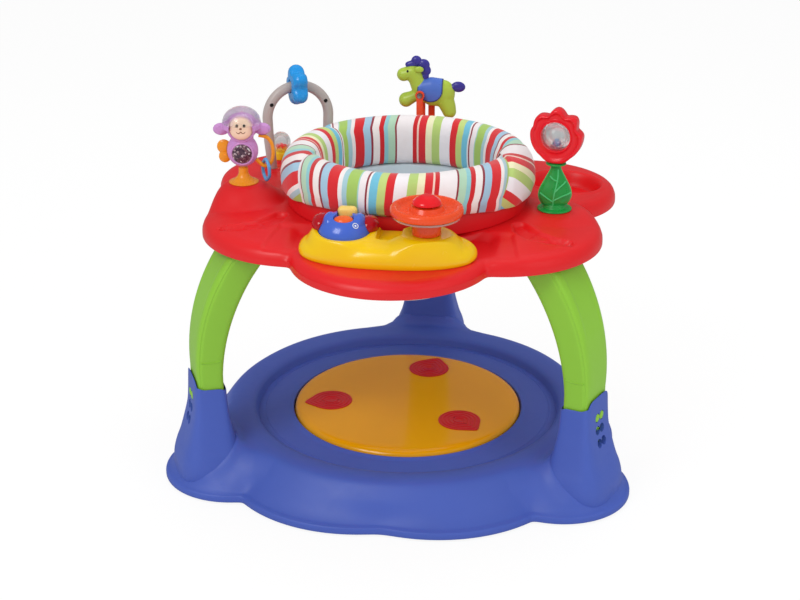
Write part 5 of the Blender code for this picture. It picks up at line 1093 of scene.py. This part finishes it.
def leaf_point(u, v):
    half, z = STEM_LINE[round(v * (len(STEM_LINE) - 1))]
    angle = 2 * math.pi * u
    c, s = math.cos(angle), math.sin(angle)
    dish = (0.0014 * fade(abs(c), 0.2, 0.4) * fade(abs(c), 0.92, 0.75) * fade(z, 0.468, 0.474)
            * fade(z, 0.512, 0.502))
    return half * c, s * (0.55 * half + 0.0035 - dish), z


bm = formed(96, len(STEM_LINE) - 1, leaf_point)
for row in (STEM_LINE[0], STEM_LINE[-1]):
    bmesh.ops.contextual_create(bm, geom=[
        edge for edge in bm.edges
        if edge.is_boundary and all(abs(v.co.z - row[1]) < 0.0001 for v in edge.verts)])
foot = turned(eased(((0.0, 0.4534), (0.0283, 0.4534), (0.0283, 0.4556), (0.0262, 0.4563), (0.0185, 0.4572),
                     (0.0165, 0.464), (0.0, 0.464)), 0.0012, 3, ring=False), 96)
neck = turned(((0.0, 0.5404), (0.0038, 0.5404), (0.0038, 0.5324), (0.0158, 0.5324), (0.0164, 0.5318),
               (0.0164, 0.5305), (0.015, 0.5298), (0.0066, 0.5286), (0.0066, 0.524), (0.0, 0.524)), 64)
fit("flower_leaf", placed(united(bm, foot, neck), TO_FLOWER), leaf_green, "upper", "leaf_green",
    "flower_stem")


def on_leaf(x, z, face_side):
    """A point on the leaf's front or back."""
    half = min(STEM_LINE, key=lambda row: abs(row[1] - z))[0]
    x = min(half, max(-half, x))
    return x, face_side * (math.sqrt(1 - (x / half) ** 2) * (0.55 * half + 0.0035) - 0.0002), z


VEINS = (((0.003, 0.523), (0.0025, 0.511), (0.0005, 0.499), (-0.003, 0.485), (-0.0045, 0.474),
          (-0.0045, 0.464)),
         ((-0.01, 0.512), (-0.0045, 0.507), (0.0015, 0.505)), ((0.016, 0.502), (0.006, 0.495), (-0.0015, 0.488)),
         ((-0.0245, 0.483), (-0.015, 0.477), (-0.0045, 0.47)), ((0.025, 0.483), (0.01, 0.48), (-0.004, 0.473)))
bm = bmesh.new()
for face_side in (-1, 1):
    for vein in VEINS:
        united(bm, swept([on_leaf(x, z, face_side) for x, z in curved(vein, 6)], 0.0013, 3))
for edge in (-1, 1):
    united(bm, swept([(edge * half, 0.0, z) for half, z in STEM_LINE], 0.0012, 3))
fit("flower_veins", placed(bm, TO_FLOWER), vein_green, "upper", "leaf_green")

bloom_red = opaque("moulded scarlet ABS", "#ec1022", rough=0.25, grain=1.2, bump=0.05, ior=1.54, coat=0.2)
BALL_CENTRE = 0.579


def bloom_radius(angle):
    """Tulip face: pointed below, round at the sides, three round petals on top."""
    up = math.degrees(angle) % 360
    radius = 0.0432 - 0.005 * fade(up, 50, 20) * fade(up, 0, 20)
    for petal, height in ((90, 0.0095), (42, 0.009), (138, 0.009)):
        radius += (height * max(0.0, math.cos(math.radians((up - petal) * 3.6))) ** 1.4
                   * (abs(up - petal) < 25))
    radius -= 0.008 * fade(math.sin(angle), 0.1, 0.7)
    return radius + 0.0035 * fade(math.sin(angle), -0.8, -1.0)


BLOOM_ROWS = (
    # share of the way from the ball's opening to the outline, then depth in front of the middle
    (0.0, 0.0), (0.0, 0.0105), (0.02, 0.0126), (0.07, 0.0129), (0.13, 0.0126), (0.17, 0.0105), (0.24, 0.0098),
    (0.55, 0.01), (0.66, 0.0108), (0.7, 0.0124), (0.76, 0.0128), (0.84, 0.0127), (0.92, 0.0118), (0.98, 0.0092),
    (1.0, 0.0055), (1.0, 0.0))


def petal_plate(outline, hole, rows, count=180):
    """A rounded plate with a round hole, upright and facing -Y, the same in front and behind."""
    line = [(share, -depth) for share, depth in rows] + [(share, depth) for share, depth in rows[-2:0:-1]]

    def place_on(u, v):
        share, depth = line[round(v * len(line)) % len(line)]
        angle = 2 * math.pi * u
        radius = hole + share * (outline(angle) - hole)
        return radius * math.cos(angle), depth, radius * math.sin(angle)

    return formed(count, len(line), place_on)


bm = petal_plate(bloom_radius, 0.0236, BLOOM_ROWS)
for vert in bm.verts:
    vert.co.z = max(vert.co.z, 0.5329 - BALL_CENTRE)
placed(bm, standing(FLOWER_AT, -12, BALL_CENTRE))
socket = tube(bmesh.new(), (*FLOWER_AT, 0.52), (*FLOWER_AT, 0.5411), 0.0043, 32)
fit("bloom", cut_away(bm, socket), bloom_red, "bloom", "inlay_red", "flower_head")
clear_ball = clear("clear polystyrene", "#f6fafc", rough=0.03, ior=1.59, alpha=0.4)


def ball_line(radius, wall, hole, steps=28):
    """Profile of a thin ball with a small round opening below."""
    line = []
    for size, order in ((radius, 1), (radius - wall, -1)):
        opening = math.pi - math.asin(hole / size)
        angles = [opening * k / steps for k in range(steps + 1)][::order]
        line += [(size * math.sin(angle), BALL_CENTRE + size * math.cos(angle)) for angle in angles]
    return line


fit("rattle_ball", turned(ball_line(0.0229, 0.0016, 0.003), 96, FLOWER_AT), clear_ball, "rattle", "clear",
    "flower_ball")
bead_blue = opaque("moulded light blue polystyrene", "#7f9fd0", rough=0.25, grain=0.6, bump=0.05, ior=1.59)
fit("rattle_bead", oval(bmesh.new(), (0.0065, 0.0065, 0.0065), (*FLOWER_AT, BALL_CENTRE - 0.0132), 32),
    bead_blue, "rattle", "light_blue", "ball_bead")

# Monkey: a lilac ABS toy, body, head and ears moulded as one, on an amber suction foot that it turns on.
# It has a peach face in a raised hood, a glitter window, a clear helmet, and an amber wing and arm.
lilac = opaque("moulded lilac ABS", "#cf93d2", rough=0.28, grain=1.0, bump=0.05, ior=1.54, coat=0.15)
amber = opaque("moulded amber ABS", "#f59a1a", rough=0.28, grain=1.0, bump=0.05, ior=1.54, coat=0.15)
MONKEY_TURN = 8.0
MONKEY_HIP = 0.5023
FACE_AT = (0.0, -0.013, 0.573)
WINDOW_AT = (0.0, -0.0128, 0.529)
TO_MONKEY = standing(MONKEY_AT, MONKEY_TURN)
FACING = Matrix.Rotation(math.radians(90), 4, "X")


def hoop(centre, radius, thickness, count=48):
    """A round ring that faces -Y."""
    spots = (around(radius, 360 * k / count) for k in range(count))
    return swept([(centre[0] + x, centre[1], centre[2] + z) for x, z in spots], thickness, 5, cyclic=True)


def body_room():
    """The monkey's body a little enlarged, which its wing and arm are cut to."""
    return oval(bmesh.new(), (0.0266, 0.0167, 0.0286), (0.0, 0.0, 0.5315), 48)


FOOT_LINE = eased(((0.0, 0.5112), (0.0044, 0.5112), (0.0044, 0.502), (0.0079, 0.502), (0.0079, 0.4925),
                   (0.0105, 0.4865), (0.018, 0.48), (0.0248, 0.4776), (0.025, 0.4764), (0.0, 0.4764)),
                  0.002, 4, ring=False)
fit("monkey_foot", turned(FOOT_LINE, 96, MONKEY_AT), amber, "upper", "amber", "monkey_base")
bm = bmesh.new()
for radii, centre in (((0.0262, 0.0163, 0.0282), (0.0, 0.0, 0.5315)),
                      ((0.019, 0.014, 0.02), (0.0, 0.0, 0.554)),
                      ((0.0268, 0.0168, 0.0235), (0.0, 0.0, 0.573)),
                      ((0.0138, 0.0078, 0.0103), (0.034, 0.0, 0.568)),
                      ((0.0138, 0.0078, 0.0103), (-0.034, 0.0, 0.568))):
    oval(bm, radii, centre, 40)
tube(bm, (0.0, 0.0, 0.57), (0.0, 0.0, 0.5789), 0.0322, 48)
bm = united(bm, hoop(FACE_AT, 0.0215, 0.0028), hoop(WINDOW_AT, 0.018, 0.002))
for edge in (-1, 1):
    united(bm, hoop((edge * 0.0365, -0.0052, 0.568), 0.0062, 0.0016, 32))
bm = melted(bm, 0.0008, 5)
helmet_room = turned(((0.0297, 0.5791), (0.05, 0.5791), (0.05, 0.62), (0.0297, 0.62)), 64)
dimples = [oval(bmesh.new(), (0.0018, 0.004, 0.0018), centre, 16)
           for centre in ((-0.012, -0.011, 0.511), (-0.0165, -0.0115, 0.5155), (0.0185, -0.0105, 0.517))]
bm = cut_away(bm, tube(bmesh.new(), FACE_AT, (0.0, -0.04, FACE_AT[2]), 0.0197, 64),
              tube(bmesh.new(), WINDOW_AT, (0.0, -0.04, WINDOW_AT[2]), 0.0166, 64),
              tube(bmesh.new(), (0.0, 0.0, 0.49), (0.0, 0.0, MONKEY_HIP + 0.0095), 0.0048, 32),
              block((0.08, 0.08, 0.02), (0.0, 0.0, MONKEY_HIP - 0.0097)), helmet_room, *dimples)
fit("monkey_moulding", placed(bm, TO_MONKEY), lilac, "monkey", "lilac", "monkey_body")

peach = opaque("moulded peach ABS", "#fad9bd", rough=0.32, grain=0.9, bump=0.05, ior=1.54)
FACE_LINE = eased(((0.0, 0.0108), (0.012, 0.0098), (0.0176, 0.0072), (0.0194, 0.003), (0.0194, 0.0002),
                   (0.0, 0.0002)), 0.003, 4, ring=False)
bm = placed(turned(FACE_LINE, 96), TO_MONKEY @ Matrix.Translation(FACE_AT) @ FACING)
fit("monkey_face_disc", bm, peach, "monkey", "peach", "monkey_face")
eye_black = opaque("black pad printing ink", "#151518", rough=0.2, grain=0.4, bump=0.02, coat=0.3)
bm = bmesh.new()
for edge in (-1, 1):
    oval(bm, (0.0024, 0.001, 0.0028), (edge * 0.006, FACE_AT[1] - 0.01, FACE_AT[2] + 0.0066), 24)
fit("monkey_eyes", placed(bm, TO_MONKEY), eye_black, "monkey", "peach")
nose_brown = opaque("brown pad printing ink", "#8a4a2c", rough=0.4, grain=0.4, bump=0.04)
bm = oval(bmesh.new(), (0.0022, 0.0012, 0.0017), (0.0, FACE_AT[1] - 0.0107, FACE_AT[2] + 0.0018), 24)
smile = [(0.0078 * (k / 12 - 1), FACE_AT[1] - 0.0104 + 0.001 * (1 - k / 12) ** 2,
          FACE_AT[2] - 0.0032 - 0.003 * math.sin(math.pi * k / 12)) for k in range(13)]
united(bm, swept(smile, 0.0007, 3), swept([(-x, y, z) for x, y, z in smile], 0.0007, 3))
fit("monkey_nose_and_mouth", placed(bm, TO_MONKEY), nose_brown, "monkey", "peach")

glitter = clear("clear polystyrene over purple glitter", "#6a4a78", rough=0.12, ior=1.59, tint=0.15)
tree = glitter.node_tree
flakes = add(tree, "TexVoronoi", None, Scale=1000 / 2.63, Vector=add(tree, "TexCoord").outputs["Object"])
flake = add(tree, "SeparateColor", None, Color=flakes.outputs["Color"])
spark = add(tree, "ValToRGB", None, Fac=flake.outputs[0])
for position, colour in ((0.0, "#3a2c3c"), (0.45, "#5b4253"), (0.78, "#8a6a72"), (0.93, "#cbb8c0")):
    stop = spark.color_ramp.elements.new(position)
    stop.color = linear(colour)
tree.links.new(spark.outputs[0], tree.nodes["Principled BSDF"].inputs["Base Color"])
WINDOW_LINE = eased(((0.0, 0.0062), (0.009, 0.0052), (0.0163, 0.002), (0.0163, 0.0002), (0.0, 0.0002)),
                    0.003, 4, ring=False)
bm = placed(turned(WINDOW_LINE, 96), TO_MONKEY @ Matrix.Translation(WINDOW_AT) @ FACING)
fit("monkey_window", bm, glitter, "monkey", "clear")
HELMET = [*arc_profile(0.032, 0.0268, 0.5793, 24), *arc_profile(0.0304, 0.0252, 0.5793, 24)[::-1]]
fit("monkey_dome", turned(HELMET, 96, MONKEY_AT), clear_ball, "monkey", "clear", "monkey_helmet")
bm = bmesh.new()
for radii, centre in (((0.0118, 0.0043, 0.0123), (-0.031, 0.003, 0.537)),
                      ((0.0103, 0.0043, 0.0108), (-0.03, 0.003, 0.52))):
    oval(bm, radii, centre, 32)
bm = cut_away(melted(bm, 0.0006, 4), body_room())
fit("monkey_wing_lobes", placed(bm, TO_MONKEY), amber, "monkey", "amber", "monkey_wing")
ARM_LINE = curved(((0.0272, 0.0, 0.557), (0.04, 0.0, 0.554), (0.048, 0.0, 0.544), (0.0505, 0.0, 0.53),
                   (0.049, 0.0, 0.516), (0.044, 0.0, 0.5065), (0.038, 0.0, 0.504), (0.032, 0.0, 0.506),
                   (0.0215, 0.0, 0.516)), 8)
ear_room = oval(bmesh.new(), (0.0142, 0.0082, 0.0107), (0.034, 0.0, 0.568), 48)
bm = cut_away(swept(ARM_LINE, 0.0031, 6), body_room(), ear_room)
fit("monkey_arm", placed(bm, TO_MONKEY), amber, "monkey", "amber", "monkey_arc")

# Link: a light blue ABS ring with six rounded corners, moulded shut, that hangs on the monkey's arm.
# It swings a little to either side.
link_blue = opaque("moulded light blue ABS", "#62a9e2", rough=0.28, grain=1.0, bump=0.05, ior=1.54, coat=0.15)
LINK_MIDDLE = 0.4973
LINK_CORNERS = ((0.0, 0.0197), (0.012, 0.0085), (0.012, -0.0085), (0.0, -0.0197), (-0.012, -0.0085),
                (-0.012, 0.0085))
bm = swept([(x, 0.0, z) for x, z in eased(LINK_CORNERS, 0.0052, 6)], 0.0029, 6, cyclic=True)
placed(bm, TO_MONKEY @ standing((0.038, 0.0), -60, LINK_MIDDLE))
fit("monkey_link", bm, link_blue, "link", "light_blue", "monkey_ring")

# Arch: a warm grey ABS tube bent to a half circle over two straight feet, with two dark screws in its face,
# and a thick blue bead with five petals threaded on its top.
arch_grey = opaque("moulded warm grey ABS", "#b9aeaa", rough=0.34, grain=0.8, bump=0.07, ior=1.54)
TO_ARCH = standing(ARCH_AT, ARCH_TURN)
ARCH_MIDDLE, ARCH_RADIUS, ARCH_BAR = 0.541, 0.055, 0.0089
ARCH_LINE = [(-0.0485, 0.0, 0.44), (-0.051, 0.0, 0.475), (-0.0535, 0.0, 0.5)]
ARCH_LINE += [(-ARCH_RADIUS * math.cos(a), 0.0, ARCH_MIDDLE + ARCH_RADIUS * math.sin(a))
              for a in (math.pi * k / 48 for k in range(49))]
ARCH_LINE += [(-x, y, z) for x, y, z in ARCH_LINE[2::-1]]
cutters = block((0.16, 0.06, 0.04), (0.0, 0.0, 0.4308))
SCREWS = [(ARCH_RADIUS * math.cos(a), ARCH_MIDDLE + ARCH_RADIUS * math.sin(a))
          for a in (math.radians(28), math.radians(152))]
for x, z in SCREWS:
    tube(cutters, (x, -0.02, z), (x, -0.0062, z), 0.0036, 32)
bm = cut_away(swept(ARCH_LINE, ARCH_BAR, 10), cutters)
fit("arch_bar", placed(bm, TO_ARCH), arch_grey, "upper", "warm_grey", "arch_tube")
bm = bmesh.new()
for x, z in SCREWS:
    tube(bm, (x, -0.0076, z), (x, -0.0058, z), 0.0034, 32)
softened(bm, 0.0004, 2)
slots = bmesh.new()
for x, z in SCREWS:
    cuboid(slots, (0.0042, 0.002, 0.0007), (x, -0.0081, z))
    cuboid(slots, (0.0007, 0.002, 0.0042), (x, -0.0081, z))
bm = cut_away(bm, melted(slots, 0.0003, 1))
dark_steel = opaque("blackened steel", "#3c3a3c", rough=0.38, grain=0.3, bump=0.08, metal=True)
fit("arch_screws", placed(bm, TO_ARCH), dark_steel, "upper", "steel")

azure = opaque("moulded azure ABS", "#1c98e6", rough=0.24, grain=1.0, bump=0.05, ior=1.54, coat=0.2)


def gear_radius(angle):
    return 0.0366 - 0.01 * (0.5 - 0.5 * math.cos(5 * angle)) ** 1.5


GEAR_ROWS = ((0.0, 0.0), (0.0, 0.0118), (0.03, 0.013), (0.1, 0.0138), (0.22, 0.0139), (0.34, 0.0134),
             (0.44, 0.013), (0.56, 0.0131), (0.66, 0.0126), (0.76, 0.0114), (0.85, 0.0094), (0.92, 0.007),
             (0.97, 0.0044), (1.0, 0.0))
bm = petal_plate(gear_radius, 0.0114, GEAR_ROWS)
placed(bm, TO_ARCH @ standing((0.0, 0.0), 90, ARCH_MIDDLE + ARCH_RADIUS))
fit("arch_bead", bm, azure, "gear", "sky_blue", "arch_gear")

# Popper: a clear polystyrene dome that presses down on a glossy yellow base, with five loose red beads in it.
# The dome's rim slides round the base's neck.
bm = turned(eased(((0.0, 0.4688), (0.0119, 0.4688), (0.0119, 0.4629), (0.0163, 0.4629), (0.0188, 0.4509),
                   (0.0, 0.4509)), 0.001, 3, ring=False), 64, POPPER_AT)
fit("popper_foot", bm, toy_yellow, "upper", "toy_yellow", "popper_base")
POPPER_RIM = 0.4671
line = [*arc_profile(0.0175, 0.0174, POPPER_RIM + 0.014, 16), (0.0175, POPPER_RIM), (0.0125, POPPER_RIM),
        (0.0125, POPPER_RIM + 0.004), (0.016, POPPER_RIM + 0.004),
        *arc_profile(0.016, 0.0159, POPPER_RIM + 0.014, 16)[::-1]]
fit("popper_cap", turned(line, 96, POPPER_AT), clear_ball, "popper", "clear", "popper_dome")
bm = bmesh.new()
for k in range(5):
    x, y = around(0.0068, 72 * k + 20)
    oval(bm, (0.0034, 0.0034, 0.0034), (POPPER_AT[0] + x, POPPER_AT[1] + y, 0.4724), 24)
fit("popper_beads", bm, horn_red, "upper", "toy_yellow")

# Horse: a puffy lime ABS toy that rocks on a steel pin between the arms of an orange fork, with an indigo mane
# and tail and a blue saddle round its body, all satin. Each form is moulded soft, with no edges.
def puffy(chains, grown=0.0, voxel=0.0009, rounds=14):
    """A skin round chains of ovals, each oval given as place along the horse, height and three radii."""
    bm = bmesh.new()
    for chain in chains:
        for start, end in zip(chain, chain[1:] or chain):
            for k in range(5):
                x, z, long, thick, tall = (a + (b - a) * k / 4 for a, b in zip(start, end))
                oval(bm, (long + grown, thick + grown, tall + grown), (HORSE_AT[0] + x, HORSE_AT[1], z))
    return melted(bm, voxel, rounds)


horse_lime = opaque("moulded pale lime ABS", "#b2cc46", rough=0.32, grain=1.0, bump=0.06, ior=1.54)
indigo = opaque("moulded indigo ABS", "#3a3496", rough=0.32, grain=1.0, bump=0.06, ior=1.54)
post_orange = opaque("moulded orange red ABS", "#ee4a1e", rough=0.3, grain=1.0, bump=0.06, ior=1.54)
PIN_HEIGHT = 0.557
HORSE_BARREL = (((0.002, 0.5625, 0.0155, 0.013, 0.019), (0.02, 0.559, 0.0205, 0.0136, 0.0255),
                 (0.04, 0.5572, 0.022, 0.0134, 0.025)),)
HORSE_REST = (((-0.002, 0.566, 0.015, 0.0126, 0.017), (-0.0085, 0.582, 0.0142, 0.0122, 0.015),
               (-0.016, 0.5945, 0.0152, 0.0128, 0.0136)),
              ((-0.016, 0.5945, 0.0145, 0.0126, 0.0128), (-0.0318, 0.5898, 0.0122, 0.0118, 0.0122)),
              ((0.0, 0.556, 0.0135, 0.012, 0.0135), (-0.014, 0.55, 0.0125, 0.0116, 0.01),
               (-0.0272, 0.5432, 0.0132, 0.0128, 0.0134)),
              ((0.044, 0.545, 0.0165, 0.0126, 0.016), (0.049, 0.533, 0.0145, 0.0124, 0.014),
               (0.052, 0.5235, 0.0125, 0.0124, 0.012)))
barrel = puffy((*HORSE_BARREL, *HORSE_REST))
ears = bmesh.new()
for edge in (-1, 1):
    oval(ears, (0.0085, 0.0034, 0.0058), (HORSE_AT[0] - 0.0025, HORSE_AT[1] + edge * 0.0112, 0.6025), 24)
barrel = melted(united(barrel, ears), 0.0008, 3)
pin_hole = tube(bmesh.new(), (HORSE_AT[0], HORSE_AT[1] - 0.03, PIN_HEIGHT),
                (HORSE_AT[0], HORSE_AT[1] + 0.03, PIN_HEIGHT), 0.0034, 32)
fit("horse_moulding", cut_away(barrel.copy(), pin_hole), horse_lime, "horse", "horse_lime", "horse_body")
bm = puffy((((-0.0205, 0.6085, 0.0085, 0.0055, 0.006), (-0.0165, 0.6095, 0.009, 0.0055, 0.0065)),
            ((-0.0085, 0.6148, 0.0098, 0.006, 0.0104),), ((0.0045, 0.6085, 0.0112, 0.006, 0.0108),),
            ((0.0085, 0.5985, 0.0095, 0.006, 0.01),), ((0.0075, 0.5885, 0.0068, 0.0056, 0.01),)),
           voxel=0.0006, rounds=5)
fit("horse_mane_scallops", cut_away(bm, barrel.copy()), indigo, "horse", "indigo", "horse_mane")
bm = puffy((((0.0675, 0.57, 0.013, 0.0058, 0.0098),),
            ((0.059, 0.569, 0.008, 0.0052, 0.0058), (0.07, 0.5695, 0.008, 0.0052, 0.007))),
           voxel=0.0006, rounds=5)
fit("horse_tail_scallops", cut_away(bm, barrel.copy()), indigo, "horse", "indigo", "horse_tail")
SADDLE_AT, SADDLE_ROUND = (HORSE_AT[0] + 0.0175, 0.566), 0.0228
flap = tube(bmesh.new(), (SADDLE_AT[0], 0.2, SADDLE_AT[1]), (SADDLE_AT[0], 0.32, SADDLE_AT[1]),
            SADDLE_ROUND, 96)
bm = puffy(HORSE_BARREL, 0.0019)
seat_room = block((2 * SADDLE_ROUND, 0.08, 0.03), (SADDLE_AT[0], HORSE_AT[1], SADDLE_AT[1] + 0.015))
flap = cut_away(flap, seat_room, operation="UNION")
bm = cut_away(cut_away(bm, flap, operation="INTERSECT"), barrel)
saddle_blue = opaque("moulded mid blue ABS with a dark edge", "#4f74ce", rough=0.3, grain=1.0, bump=0.06,
                     ior=1.54)
tree = saddle_blue.node_tree
axes = add(tree, "SeparateXYZ", None, Vector=add(tree, "TexCoord").outputs["Object"])
along = add(tree, "Math", {"operation": "SUBTRACT"}, i0=axes.outputs[0], i1=SADDLE_AT[0])
below = add(tree, "Math", {"operation": "SUBTRACT"}, i0=SADDLE_AT[1], i1=axes.outputs[2])
below = add(tree, "Math", {"operation": "MAXIMUM"}, i0=below.outputs[0], i1=0.0)
spot = add(tree, "CombineXYZ", None, X=along.outputs[0], Y=below.outputs[0])
from_middle = add(tree, "VectorMath", {"operation": "LENGTH"}, i0=spot.outputs[0])
edged = add(tree, "Math", {"operation": "GREATER_THAN"}, i0=from_middle.outputs["Value"],
            i1=SADDLE_ROUND - 0.0016)
shader = tree.nodes["Principled BSDF"]
plain = shader.inputs["Base Color"].links[0].from_socket
both = add(tree, "MixRGB", None, Fac=edged.outputs[0], Color1=plain, Color2=linear("#2b2f7a"))
tree.links.new(both.outputs[0], shader.inputs["Base Color"])
fit("saddle", bm, saddle_blue, "horse", "saddle_blue", "horse_saddle")
bm = bmesh.new()
bm.from_mesh(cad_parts["horse_post"].data)
bmesh.ops.triangulate(bm, faces=bm.faces)
fit("horse_fork", melted(bm, 0.0006, 4), post_orange, "upper", "orange_red", "horse_post")
refinish(screw_steel, "horse_pin")
bm = bmesh.new()
for edge in (-1, 1):
    oval(bm, (0.002, 0.0009, 0.0024), (HORSE_AT[0] - 0.0232, HORSE_AT[1] + edge * 0.0112, 0.5985), 24)
fit("horse_eyes", bm, eye_black, "horse", "horse_lime")
